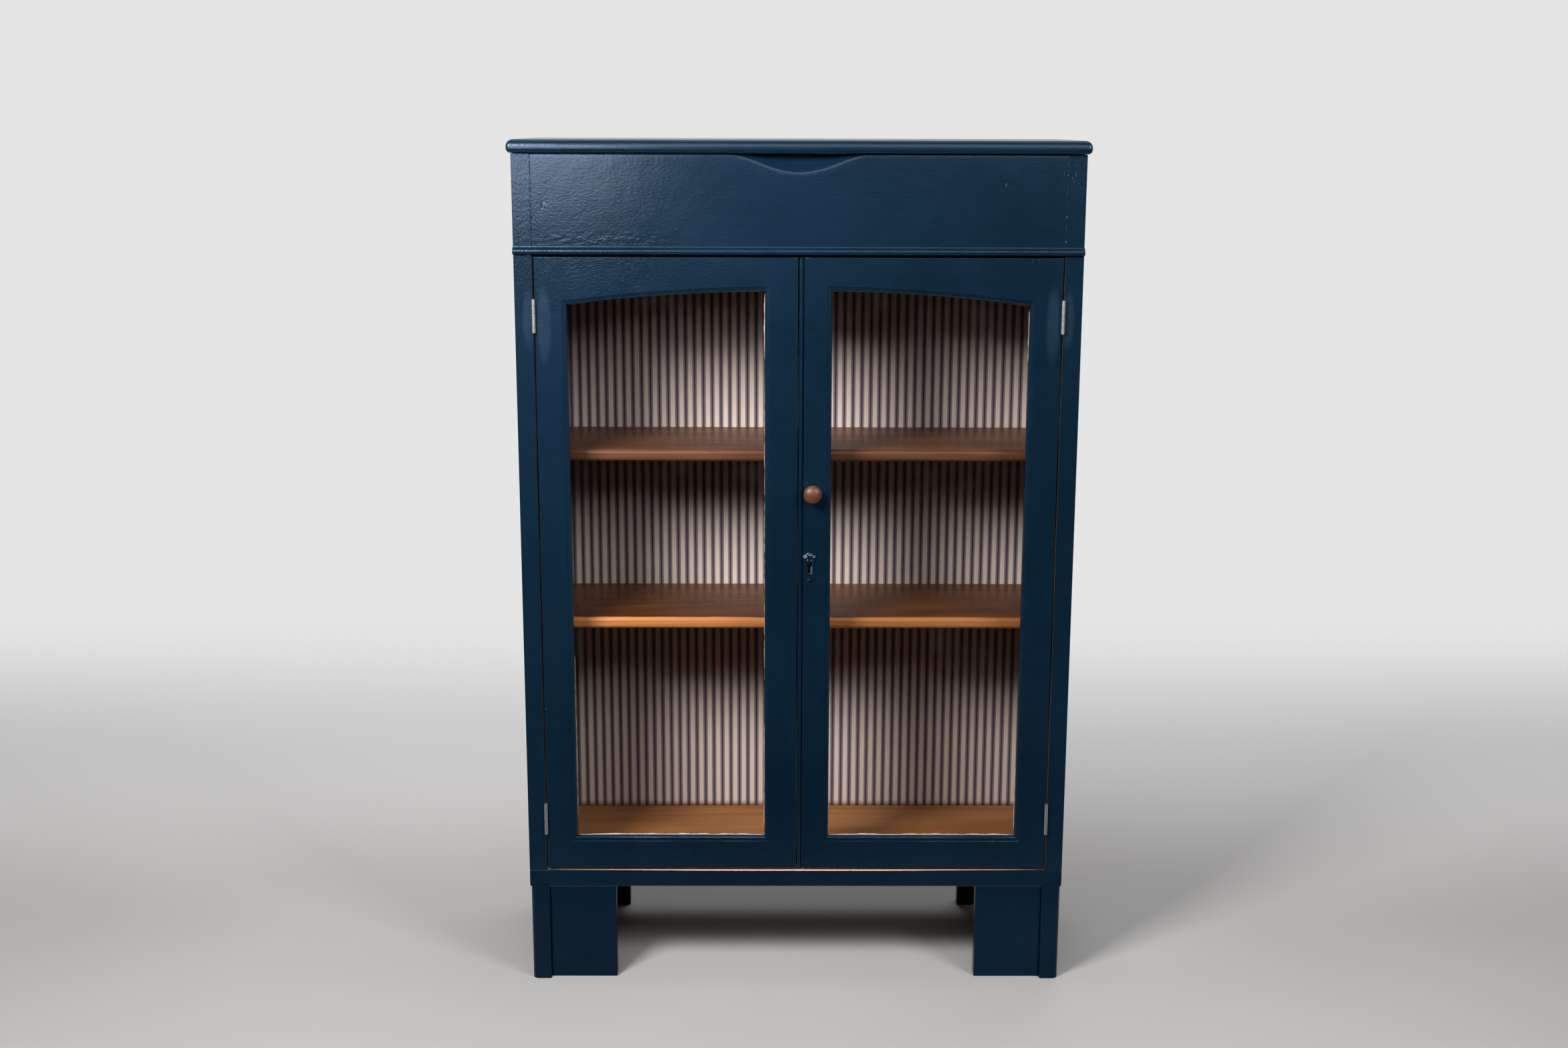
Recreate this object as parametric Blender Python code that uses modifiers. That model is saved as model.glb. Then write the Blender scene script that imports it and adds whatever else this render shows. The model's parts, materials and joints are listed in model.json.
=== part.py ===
"""Glazed display cabinet with a lift-up lid, two arched glass doors, two shelves and bracket feet.

Units are metres, +Z is up and the front faces -Y. The origin is on the floor, under the middle
of the cabinet's outer box. Depths are measured back from the front plane of the carcass.
"""

import math

import bmesh
import bpy
from mathutils import Matrix, Vector

# Carcass boards
BODY_WIDTH = 0.770
BODY_DEPTH = 0.275
OVERALL_HEIGHT = 1.200
SIDE_THICKNESS = 0.025
BOTTOM_THICKNESS = 0.0245
FRIEZE_HEIGHT = 0.133
FRIEZE_THICKNESS = 0.018
FLOOR_THICKNESS = 0.012
BACK_BOARD_THICKNESS = 0.018
EDGE_EASE = 0.0008

# Back panel in its rebate, with the cloth lining on its face
PANEL_THICKNESS = 0.008
PANEL_LAP = 0.010
PANEL_INSET = 0.003
LINING_THICKNESS = 0.0008

# Shelves, let into housings in the sides
SHELF_THICKNESS = 0.017
SHELF_SETBACK = 0.060
SHELF_NOSE = 0.006
LOWER_BAY_HEIGHT = 0.345
MIDDLE_BAY_HEIGHT = 0.2275
HOUSING_DEPTH = 0.007

# Lid and the finger scoop under its front edge
LID_THICKNESS = 0.018
LID_FRONT_OVERHANG = 0.010
LID_SIDE_OVERHANG = 0.0055
LID_TOP_ROUND = 0.009
LID_UNDER_ROUND = 0.006
LID_CORNER_ROUND = 0.005
LID_SEAT_GAP = 0.0004
SCOOP_WIDTH = 0.178
SCOOP_HEIGHT = 0.024
SCOOP_DEPTH = 0.0095
SCOOP_LEAD = 0.2

# Waist moulding: a bead under a narrow fillet
BEAD_HEIGHT = 0.0097
BEAD_PROJECTION = 0.0068
BEAD_FLAT = 0.001
BEAD_TURN = 150
FILLET_HEIGHT = 0.0018
FILLET_PROJECTION = 0.0022
MOULDING_DROP = 0.001

# Bracket feet
FOOT_HEIGHT = 0.140
FOOT_INSET = 0.002
FOOT_SIDE_THICKNESS = 0.027
FOOT_SIDE_LENGTH = 0.100
FOOT_PROUD = 0.0075
FOOT_NOSE_RADIUS = 0.009
FOOT_INNER_RADIUS = 0.003
BRACKET_WIDTH = 0.095
BRACKET_THICKNESS = 0.020
BLOCK_SIZE = 0.030
BLOCK_HEIGHT = 0.110

# Doors
DOOR_THICKNESS = 0.020
DOOR_SIDE_GAP = 0.002
DOOR_TOP_GAP = 0.004
DOOR_BOTTOM_GAP = 0.0042
MEETING_GAP = 0.002
HINGE_STILE_WIDTH = 0.0435
MEETING_STILE_WIDTH = 0.045
BOTTOM_RAIL_HEIGHT = 0.047
TOP_RAIL_HEIGHT = 0.0452
ARCH_RADIUS = 2.530
TENON_LENGTH = 0.028
TENON_THICKNESS = 0.007
TENON_SHOULDER = 0.0035

# Moulded inner edge of the doors, with the glass in the rebate behind it
STICKING_WIDTH = 0.0065
STICKING_STEP = 0.0012
STICKING_DEPTH = 0.007
LIP_THICKNESS = 0.0025
REBATE_WIDTH = 0.007
GLASS_THICKNESS = 0.003
GLASS_CLEARANCE = 0.0008
PUTTY_MARGIN = 0.0006
PUTTY_RECESS = 0.0005

# Quirked bead on the meeting edge of the right door
EDGE_BEAD_RADIUS = 0.003
QUIRK_WIDTH = 0.0013
QUIRK_DEPTH = 0.0035

# Butt hinges
HINGE_LENGTH = 0.045
HINGE_TOP_INSET = 0.057
HINGE_BOTTOM_INSET = 0.0525
LID_HINGE_INSET = 0.110
KNUCKLE_RADIUS = 0.0025
KNUCKLE_COUNT = 5
KNUCKLE_GAP = 0.0003
LEAF_WIDTH = 0.012
LEAF_THICKNESS = 0.0012
LEAF_CLEARANCE = 0.0004
PIN_RADIUS = 0.0011
PIN_CLEARANCE = 0.00015
PIN_HEAD_RADIUS = 0.0018
PIN_HEAD_HEIGHT = 0.0007
FACE_CLEARANCE = 0.0004

# Turned knob
KNOB_X = 0.0203
KNOB_Z = 0.722
KNOB_RADIUS = 0.0128
KNOB_PROJECTION = 0.024
KNOB_DOME = 0.008
KNOB_UNDERCUT = 0.007
KNOB_NECK_RADIUS = 0.006
KNOB_BASE_RADIUS = 0.0085
KNOB_BASE_HEIGHT = 0.0025
SPIGOT_RADIUS = 0.004
SPIGOT_LENGTH = 0.014

# Keyhole plate
KEYHOLE_X = 0.0165
KEYHOLE_Z = 0.619
KEYHOLE_RADIUS = 0.0036
KEYHOLE_SLOT_WIDTH = 0.0034
KEYHOLE_SLOT_LENGTH = 0.0116
PLATE_THICKNESS = 0.0015
PLATE_DROP = 0.003
PLATE_FOOT_RADIUS = 0.0097
PLATE_FOOT_DROP = 0.0117
PLATE_WAIST_RADIUS = 0.0185
PLATE_WAIST_HALF = 0.0065
PLATE_WAIST_RISE = 0.010
PLATE_LOBE_RADIUS = 0.0034
PLATE_LOBE_X = 0.0064
PLATE_LOBE_RISE = 0.0148
PLATE_CROWN_RADIUS = 0.0054
PLATE_CROWN_RISE = 0.016

# Cupboard lock on the inside of the right door
LOCK_WIDTH = 0.032
LOCK_HEIGHT = 0.050
LOCK_THICKNESS = 0.010
LOCK_EDGE_INSET = 0.0015
LOCK_WALL = 0.0012
LOCK_DROP = 0.002
LOCK_BOLT_LENGTH = 0.024
LOCK_BOLT_HEIGHT = 0.009
LOCK_BOLT_THICKNESS = 0.005
LOCK_BOLT_RISE = 0.011
LOCK_BOLT_SETBACK = 0.0005

# Slide bolt on the inside of the left door
ROD_X = 0.020
ROD_RADIUS = 0.003
ROD_TIP_INSET = 0.002
ROD_TAIL = 0.004
GUIDE_WIDTH = 0.014
GUIDE_HEIGHT = 0.060
GUIDE_TOP_INSET = 0.012
GUIDE_THICKNESS = 0.0015
STAPLE_WIDTH = 0.011
STAPLE_HEIGHT = 0.006
STAPLE_WALL = 0.002
STAPLE_INSET = 0.004
THUMB_RADIUS = 0.0024
THUMB_LENGTH = 0.008
KEEPER_DEPTH = 0.010
KEEPER_CLEARANCE = 0.0006

# Fits
GLUE_GAP = 0.0003
SLIDE_CLEARANCE = 0.0002
CUT_MARGIN = 0.001

# Facets of round forms
ROUND_STEPS = 16
KNOB_STEPS = 24
SCOOP_STEPS = 120
SCOOP_RINGS = 6
ARCH_STEPS = 10
ARC_STEPS = 6
STICKING_STEPS = 4
SHARP_ANGLE = 35

# Places along X, from the middle of the cabinet
HALF_WIDTH = BODY_WIDTH / 2
INNER = HALF_WIDTH - SIDE_THICKNESS
DOOR_INNER = MEETING_GAP / 2
DOOR_OUTER = INNER - DOOR_SIDE_GAP
SIGHT_INNER = DOOR_INNER + MEETING_STILE_WIDTH
SIGHT_OUTER = DOOR_OUTER - HINGE_STILE_WIDTH
HINGE_X = INNER - DOOR_SIDE_GAP / 2
FOOT_OUTER = HALF_WIDTH - FOOT_INSET
FOOT_SIDE_INNER = FOOT_OUTER - FOOT_SIDE_THICKNESS
BRACKET_OUTER = FOOT_SIDE_INNER - GLUE_GAP

# Places along Z
BOTTOM_LOW = FOOT_HEIGHT + GLUE_GAP
BOTTOM_TOP = BOTTOM_LOW + BOTTOM_THICKNESS
LID_LOW = OVERALL_HEIGHT - LID_THICKNESS
CARCASS_TOP = LID_LOW - LID_SEAT_GAP
FRIEZE_LOW = CARCASS_TOP - FRIEZE_HEIGHT
FLOOR_TOP = FRIEZE_LOW + FLOOR_THICKNESS
LOWER_SHELF_LOW = BOTTOM_TOP + LOWER_BAY_HEIGHT
UPPER_SHELF_LOW = LOWER_SHELF_LOW + SHELF_THICKNESS + MIDDLE_BAY_HEIGHT
DOOR_LOW = BOTTOM_TOP + DOOR_BOTTOM_GAP
DOOR_TOP = FRIEZE_LOW - DOOR_TOP_GAP
SIGHT_LOW = DOOR_LOW + BOTTOM_RAIL_HEIGHT
ARCH_APEX = DOOR_TOP - TOP_RAIL_HEIGHT

# Depths from the front plane
HINGE_OFFSET = KNUCKLE_RADIUS + FACE_CLEARANCE
PANEL_BACK = BODY_DEPTH - PANEL_INSET
PANEL_FRONT = PANEL_BACK - PANEL_THICKNESS
LINING_FRONT = PANEL_FRONT - GLUE_GAP - LINING_THICKNESS
LIP_BACK = STICKING_DEPTH + LIP_THICKNESS
GLASS_FRONT = LIP_BACK + GLUE_GAP
GLASS_BACK = GLASS_FRONT + GLASS_THICKNESS
FITTING_FACE = DOOR_THICKNESS + GLUE_GAP
ROD_DEPTH = FITTING_FACE + GUIDE_THICKNESS + SLIDE_CLEARANCE + ROD_RADIUS

# The front plane's own place: the knob and the lid's hinge barrels end the outer box
KNOB_REACH = KNOB_PROJECTION + GLUE_GAP
BACK_REACH = BODY_DEPTH + HINGE_OFFSET + KNUCKLE_RADIUS
FRONT = (KNOB_REACH - BACK_REACH) / 2

LEFT = -1
RIGHT = 1
SIDE_NAMES = {LEFT: "left", RIGHT: "right"}

# Each turn lays the local Z axis along a world axis
ALONG = {
    "X": Matrix(((0, 0, 1, 0), (1, 0, 0, 0), (0, 1, 0, 0), (0, 0, 0, 1))),
    "Y": Matrix(((1, 0, 0, 0), (0, 0, -1, 0), (0, 1, 0, 0), (0, 0, 0, 1))),
    "Z": Matrix.Identity(4),
}


def clear_scene():
    for obj in list(bpy.data.objects):
        bpy.data.objects.remove(obj)
    for collection in list(bpy.data.collections):
        bpy.data.collections.remove(collection)


def new_collection(name):
    collection = bpy.data.collections.new(name)
    bpy.context.scene.collection.children.link(collection)
    return collection


clear_scene()
PARTS = new_collection("display_cabinet")
CUTTERS = new_collection("cutters")


def new_finish(name, colour, roughness, metallic=0.0, alpha=1.0):
    material = bpy.data.materials.new(name)
    material.use_nodes = True
    shader = material.node_tree.nodes["Principled BSDF"]
    shader.inputs["Base Color"].default_value = (*colour, 1.0)
    shader.inputs["Roughness"].default_value = roughness
    shader.inputs["Metallic"].default_value = metallic
    shader.inputs["Alpha"].default_value = alpha
    return material


PAINT = new_finish("blue_paint", (0.010, 0.035, 0.070), 0.35)
PINE = new_finish("golden_pine", (0.30, 0.13, 0.045), 0.55)
SHELF_WOOD = new_finish("brown_shelf_wood", (0.17, 0.075, 0.035), 0.50)
KNOB_WOOD = new_finish("reddish_knob_wood", (0.19, 0.080, 0.050), 0.40)
TICKING = new_finish("striped_ticking", (0.52, 0.45, 0.42), 0.95)
GLASS = new_finish("clear_glass", (0.90, 0.95, 0.93), 0.03, alpha=0.15)
PUTTY = new_finish("glazing_putty", (0.62, 0.58, 0.50), 0.85)
STEEL = new_finish("worn_steel", (0.42, 0.40, 0.36), 0.40, metallic=1.0)
BRASS = new_finish("old_brass", (0.40, 0.27, 0.10), 0.35, metallic=1.0)


# Making, placing and joining shapes

def at_depth(depth):
    return FRONT + depth


def add_pivot(name, location, parent=None):
    pivot = bpy.data.objects.new(name, None)
    pivot.location = location
    pivot.empty_display_size = 0.03
    PARTS.objects.link(pivot)
    attach(pivot, parent)
    return pivot


def attach(obj, parent):
    """Parents an object and leaves it where it stands."""
    bpy.context.view_layer.update()
    if parent:
        obj.parent = parent
        obj.matrix_parent_inverse = parent.matrix_world.inverted()


def make_part(obj, finish, parent):
    obj.data.materials.clear()
    obj.data.materials.append(finish)
    attach(obj, parent)
    return obj


def make_cutter(obj):
    """Moves a shape to the cutters, where one cutter may serve several parts."""
    if obj.name in CUTTERS.objects:
        return
    PARTS.objects.unlink(obj)
    CUTTERS.objects.link(obj)
    obj.hide_render = True
    obj.display_type = "WIRE"


def add_mesh(name, shape, matrix=None):
    """Turns a bmesh into an object."""
    mesh = bpy.data.meshes.new(name)
    shape.to_mesh(mesh)
    shape.free()
    obj = bpy.data.objects.new(name, mesh)
    obj.matrix_world = matrix or Matrix.Identity(4)
    PARTS.objects.link(obj)
    return obj


def box(name, corner, opposite):
    """A box between two opposite corners, with its origin at its middle."""
    corner = Vector(corner)
    opposite = Vector(opposite)
    size = [abs(span) for span in opposite - corner]
    shape = bmesh.new()
    bmesh.ops.create_cube(shape, size=1.0, matrix=Matrix.Diagonal((*size, 1.0)))
    return add_mesh(name, shape, Matrix.Translation((corner + opposite) / 2))


def cylinder(name, radius, length, middle, axis):
    shape = bmesh.new()
    bmesh.ops.create_cone(
        shape, cap_ends=True, segments=ROUND_STEPS, radius1=radius, radius2=radius, depth=length
    )
    return add_mesh(name, shape, Matrix.Translation(middle) @ ALONG[axis])


def extruded(name, outline, axis, start, end):
    """A prism: an outline in the plane square to a world axis, run from start to end along it.

    The outline's points are (Y, Z) for a run along X, (X, Z) along Y and (X, Y) along Z.
    """
    curve = bpy.data.curves.new(name, "CURVE")
    curve.dimensions = "2D"
    curve.fill_mode = "BOTH"
    curve.extrude = abs(end - start) / 2
    spline = curve.splines.new("POLY")
    spline.points.add(len(outline) - 1)
    for point, (across, up) in zip(spline.points, outline):
        point.co = (across, up, 0.0, 1.0)
    spline.use_cyclic_u = True
    drawing = bpy.data.objects.new(name, curve)
    shift = Vector([(start + end) / 2 if letter == axis else 0.0 for letter in "XYZ"])
    matrix = Matrix.Translation(shift) @ ALONG[axis]
    PARTS.objects.link(drawing)
    view = bpy.context.evaluated_depsgraph_get()
    flat = bpy.data.meshes.new_from_object(drawing.evaluated_get(view))
    bpy.data.objects.remove(drawing)
    shape = bmesh.new()
    shape.from_mesh(flat)
    bpy.data.meshes.remove(flat)
    bmesh.ops.remove_doubles(shape, verts=shape.verts, dist=0.000001)
    return add_mesh(name, shape, matrix)


def turned(name, profile, steps, matrix):
    """A solid turned about its own Z axis from (radius, height) points, top to bottom."""
    mesh = bpy.data.meshes.new(name)
    edges = [(i, i + 1) for i in range(len(profile) - 1)]
    mesh.from_pydata([(radius, 0.0, height) for radius, height in profile], edges, [])
    obj = bpy.data.objects.new(name, mesh)
    obj.matrix_world = matrix
    PARTS.objects.link(obj)
    screw = obj.modifiers.new("turn", "SCREW")
    screw.steps = steps
    screw.render_steps = steps
    screw.use_merge_vertices = True
    screw.merge_threshold = 0.00001
    screw.use_smooth_shade = True
    return obj


def lofted(name, sections):
    """A closed solid through outlines that have as many points each."""
    shape = bmesh.new()
    rings = [[shape.verts.new(point) for point in section] for section in sections]
    for ring, following in zip(rings, rings[1:]):
        for i, point in enumerate(ring):
            j = (i + 1) % len(ring)
            shape.faces.new((point, ring[j], following[j], following[i]))
    shape.faces.new(rings[0])
    shape.faces.new(rings[-1])
    bmesh.ops.recalc_face_normals(shape, faces=shape.faces)
    return add_mesh(name, shape)


def boolean(target, tool, operation):
    make_cutter(tool)
    modifier = target.modifiers.new(tool.name, "BOOLEAN")
    modifier.operation = operation
    modifier.object = tool


def subtract(target, tool):
    boolean(target, tool, "DIFFERENCE")


def unite(target, tool):
    boolean(target, tool, "UNION")


def arc(centre, radius, start, end, steps=ARC_STEPS):
    """Points on an arc, between two angles in degrees."""
    angles = [math.radians(start + (end - start) * i / steps) for i in range(steps + 1)]
    return [(centre[0] + radius * math.cos(a), centre[1] + radius * math.sin(a)) for a in angles]


def shade_round(obj):
    obj.data.shade_smooth()
    obj.data.set_sharp_from_angle(angle=math.radians(SHARP_ANGLE))


def round_edges(obj, radius_of, segments=2):
    """Rounds each edge of a box by the radius that radius_of gives for the edge's middle and run."""
    mesh = obj.data
    radii = []
    for edge in mesh.edges:
        first, second = (obj.matrix_world @ mesh.vertices[i].co for i in edge.vertices)
        radii.append(radius_of((first + second) / 2, second - first))
    weights = mesh.attributes.new("bevel_weight_edge", "FLOAT", "EDGE")
    weights.data.foreach_set("value", [radius / max(radii) for radius in radii])
    bevel = obj.modifiers.new("rounded_edges", "BEVEL")
    bevel.width = max(radii)
    bevel.segments = segments
    bevel.limit_method = "WEIGHT"
    shade_round(obj)


def eased(middle, run):
    """The same small radius on every edge of a painted board."""
    return EDGE_EASE


def board(name, corner, opposite, finish, parent):
    obj = box(name, corner, opposite)
    round_edges(obj, eased)
    return make_part(obj, finish, parent)


# Butt hinge: interleaved knuckles on two leaves, with a pin through them

def knuckle_span(index):
    """The lower and upper end of one knuckle, from the hinge's middle."""
    pitch = HINGE_LENGTH / KNUCKLE_COUNT
    low = -HINGE_LENGTH / 2 + index * pitch
    return low + KNUCKLE_GAP / 2, low + pitch - KNUCKLE_GAP / 2


def hinge_leaf(name, frame, side, own_knuckles, parent):
    """A leaf in the hinge's own frame: Z along the pin, Y into the wood, X across the leaves."""
    clear_of_barrel = KNUCKLE_RADIUS + KNUCKLE_GAP
    outline = [(clear_of_barrel, -HINGE_LENGTH / 2)]
    for index in own_knuckles:
        low, high = knuckle_span(index)
        outline += [(clear_of_barrel, low), (0.0, low), (0.0, high), (clear_of_barrel, high)]
    outline.append((clear_of_barrel, HINGE_LENGTH / 2))
    outline.append((HINGE_OFFSET + LEAF_WIDTH, HINGE_LENGTH / 2))
    outline.append((HINGE_OFFSET + LEAF_WIDTH, -HINGE_LENGTH / 2))
    near = side * LEAF_CLEARANCE / 2
    leaf = extruded(name, outline, "X", near, near + side * LEAF_THICKNESS)
    leaf.matrix_world = frame @ leaf.matrix_world
    for index in own_knuckles:
        low, high = knuckle_span(index)
        knuckle = cylinder(f"{name}_knuckle", KNUCKLE_RADIUS, high - low, (0, 0, (low + high) / 2), "Z")
        knuckle.matrix_world = frame @ knuckle.matrix_world
        unite(leaf, knuckle)
    bore = cylinder(f"{name}_bore", PIN_RADIUS + PIN_CLEARANCE, 2 * HINGE_LENGTH, (0, 0, 0), "Z")
    bore.matrix_world = frame @ bore.matrix_world
    subtract(leaf, bore)
    make_part(leaf, STEEL, parent)


def hinge_pin(name, frame, parent):
    """A pin with a riveted head at each end."""
    reach = HINGE_LENGTH / 2 + KNUCKLE_GAP / 2
    profile = [(0.0, reach + PIN_HEAD_HEIGHT), (PIN_HEAD_RADIUS, reach + PIN_HEAD_HEIGHT / 2)]
    profile += [(PIN_HEAD_RADIUS, reach), (PIN_RADIUS, reach)]
    profile += [(radius, -height) for radius, height in reversed(profile)]
    make_part(turned(name, profile, ROUND_STEPS, frame), STEEL, parent)


def leaf_recess(name, frame, side):
    """The shallow seat that one leaf needs in the wood."""
    depth = HINGE_OFFSET + LEAF_WIDTH + GLUE_GAP
    reach = HINGE_LENGTH / 2 + GLUE_GAP
    across = side * (LEAF_CLEARANCE / 2 + LEAF_THICKNESS + GLUE_GAP)
    recess = box(name, (0.0, 0.0, -reach), (across, depth, reach))
    recess.matrix_world = frame @ recess.matrix_world
    return recess


def butt_hinge(name, frame, fixed, moving, fixed_parent, moving_parent, fixed_wood, moving_wood):
    """A whole hinge let into two boards. The fixed leaf lies on the frame's -X side."""
    even = range(0, KNUCKLE_COUNT, 2)
    odd = range(1, KNUCKLE_COUNT, 2)
    hinge_leaf(f"{name}_{fixed}_leaf", frame, -1, even, fixed_parent)
    hinge_leaf(f"{name}_{moving}_leaf", frame, 1, odd, moving_parent)
    hinge_pin(f"{name}_pin", frame, fixed_parent)
    subtract(fixed_wood, leaf_recess(f"{name}_{fixed}_recess", frame, -1))
    subtract(moving_wood, leaf_recess(f"{name}_{moving}_recess", frame, 1))


def door_hinge_frame(side, height):
    frame = Matrix.Translation((side * HINGE_X, at_depth(-HINGE_OFFSET), height))
    return frame if side == LEFT else frame @ Matrix.Rotation(math.pi, 4, "Y")


def lid_hinge_frame(side):
    """Pin along X, leaves running forward, the lid's leaf on top."""
    across = side * (INNER - LID_HINGE_INSET)
    height = CARCASS_TOP + LID_SEAT_GAP / 2
    place = Matrix.Translation((across, at_depth(BODY_DEPTH + HINGE_OFFSET), height))
    return place @ Matrix(((0, 0, 1, 0), (0, -1, 0, 0), (1, 0, 0, 0), (0, 0, 0, 1)))


# Carcass

def side_board(side, parent):
    """A side with housings for the shelves and the compartment floor, and a rebate for the back panel."""
    name = f"side_{SIDE_NAMES[side]}"
    low = BOTTOM_TOP + GLUE_GAP
    outer = side * HALF_WIDTH
    obj = board(
        name, (side * INNER, at_depth(0), low), (outer, at_depth(BODY_DEPTH), CARCASS_TOP), PAINT, parent
    )
    near = side * (INNER - CUT_MARGIN)
    behind = at_depth(BODY_DEPTH + CUT_MARGIN)
    housings = [
        ("lower_shelf", SHELF_SETBACK, LOWER_SHELF_LOW, SHELF_THICKNESS),
        ("upper_shelf", SHELF_SETBACK, UPPER_SHELF_LOW, SHELF_THICKNESS),
        ("floor", FRIEZE_THICKNESS + GLUE_GAP, FRIEZE_LOW, FLOOR_THICKNESS),
    ]
    for piece, start, base, thickness in housings:
        corner = (near, at_depth(start - GLUE_GAP), base - GLUE_GAP)
        opposite = (side * (INNER + HOUSING_DEPTH), behind, base + thickness + GLUE_GAP)
        subtract(obj, box(f"{name}_{piece}_housing", corner, opposite))
    corner = (near, at_depth(PANEL_FRONT - GLUE_GAP), low - CUT_MARGIN)
    opposite = (side * (INNER + PANEL_LAP), behind, FRIEZE_LOW)
    subtract(obj, box(f"{name}_rebate", corner, opposite))
    return obj


def bottom_board(parent):
    corner = (-HALF_WIDTH, at_depth(0), BOTTOM_LOW)
    board("bottom_board", corner, (HALF_WIDTH, at_depth(BODY_DEPTH), BOTTOM_TOP), PAINT, parent)


def shelf(name, base, parent):
    """A shelf with a rounded front edge."""
    reach = INNER + HOUSING_DEPTH - GLUE_GAP
    front = at_depth(SHELF_SETBACK)
    corner = (-reach, front, base)
    obj = box(name, corner, (reach, at_depth(LINING_FRONT - GLUE_GAP), base + SHELF_THICKNESS))

    def nosed(middle, run):
        return SHELF_NOSE if abs(run.x) > reach and abs(middle.y - front) < CUT_MARGIN else 0.0

    round_edges(obj, nosed, segments=4)
    make_part(obj, SHELF_WOOD, parent)


def compartment_floor(parent):
    """The floor under the lid, with a keeper hole for the slide bolt in its underside."""
    reach = INNER + HOUSING_DEPTH - GLUE_GAP
    corner = (-reach, at_depth(FRIEZE_THICKNESS + GLUE_GAP), FRIEZE_LOW)
    obj = box("compartment_floor", corner, (reach, at_depth(BODY_DEPTH), FLOOR_TOP))
    length = KEEPER_DEPTH + CUT_MARGIN
    middle = (-ROD_X, at_depth(ROD_DEPTH), FRIEZE_LOW + KEEPER_DEPTH - length / 2)
    subtract(obj, cylinder("keeper_hole", ROD_RADIUS + KEEPER_CLEARANCE, length, middle, "Z"))
    make_part(obj, PINE, parent)


def frieze_board(parent):
    """The board under the lid, with a finger scoop carved in the middle of its top edge."""
    reach = INNER - GLUE_GAP
    corner = (-reach, at_depth(0), FRIEZE_LOW)
    obj = board("frieze_board", corner, (reach, at_depth(FRIEZE_THICKNESS), CARCASS_TOP), PAINT, parent)
    subtract(obj, scoop_tool())


def scoop_tool():
    """A shallow turned dish about a front-to-back axis: its rim crosses the frieze as one wide arc."""
    rim = (SCOOP_WIDTH ** 2 / 4 + SCOOP_HEIGHT ** 2) / (2 * SCOOP_HEIGHT)
    shares = [-SCOOP_LEAD + (1 + SCOOP_LEAD) * i / SCOOP_RINGS for i in range(SCOOP_RINGS + 1)]
    dish = [(rim - SCOOP_HEIGHT * share, -SCOOP_DEPTH * (1 - (1 - share) ** 2)) for share in shares]
    profile = [(0.0, dish[0][1])] + dish + [(0.0, dish[-1][1])]
    place = Matrix.Translation((0.0, at_depth(0), CARCASS_TOP + rim - SCOOP_HEIGHT))
    return turned("finger_scoop", profile, SCOOP_STEPS, place @ ALONG["Y"])


def waist_moulding(parent):
    """A bead under a narrow fillet, planted across the frieze and the sides."""
    back = at_depth(-GLUE_GAP)
    base = FRIEZE_LOW - MOULDING_DROP
    outline = [(back, base)]
    for step in range(2 * ARC_STEPS + 1):
        angle = math.radians(-90 + BEAD_TURN * step / (2 * ARC_STEPS))
        rise = BEAD_HEIGHT / 2 * (1 + math.sin(angle))
        outline.append((back - BEAD_FLAT - BEAD_PROJECTION * math.cos(angle), base + rise))
    outline.append((back - FILLET_PROJECTION, base + BEAD_HEIGHT))
    outline.append((back - FILLET_PROJECTION, base + BEAD_HEIGHT + FILLET_HEIGHT))
    outline.append((back, base + BEAD_HEIGHT + FILLET_HEIGHT))
    obj = extruded("waist_moulding", outline, "X", -HALF_WIDTH, HALF_WIDTH)
    shade_round(obj)
    make_part(obj, PAINT, parent)


def back_of_carcass(parent):
    """The back panel in its rebate, the cloth lining on its face, and the board behind the compartment."""
    low = BOTTOM_TOP + GLUE_GAP
    high = FRIEZE_LOW - GLUE_GAP
    lap = INNER + PANEL_LAP - GLUE_GAP
    panel = box("back_panel", (-lap, at_depth(PANEL_FRONT), low), (lap, at_depth(PANEL_BACK), high))
    make_part(panel, PINE, parent)
    inside = INNER - GLUE_GAP
    back = at_depth(LINING_FRONT + LINING_THICKNESS)
    lining = box("ticking_lining", (-inside, at_depth(LINING_FRONT), low), (inside, back, high))
    make_part(lining, TICKING, parent)
    corner = (-inside, at_depth(BODY_DEPTH - BACK_BOARD_THICKNESS), FLOOR_TOP + GLUE_GAP)
    return board("back_board", corner, (inside, at_depth(BODY_DEPTH), CARCASS_TOP), PAINT, parent)


# Feet

def foot_side_outline(side, start, end, nosed):
    """Plan of a side piece: square, or with its front end rounded off."""
    inner = FOOT_SIDE_INNER
    outer = FOOT_OUTER
    plan = [(inner, end), (outer, end)]
    if nosed:
        outer_centre = (outer - FOOT_NOSE_RADIUS, start + FOOT_NOSE_RADIUS)
        inner_centre = (inner + FOOT_INNER_RADIUS, start + FOOT_INNER_RADIUS)
        plan += arc(outer_centre, FOOT_NOSE_RADIUS, 0, -90)
        plan += arc(inner_centre, FOOT_INNER_RADIUS, 270, 180)
    else:
        plan += [(outer, start), (inner, start)]
    return [(side * across, along) for across, along in plan]


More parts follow.
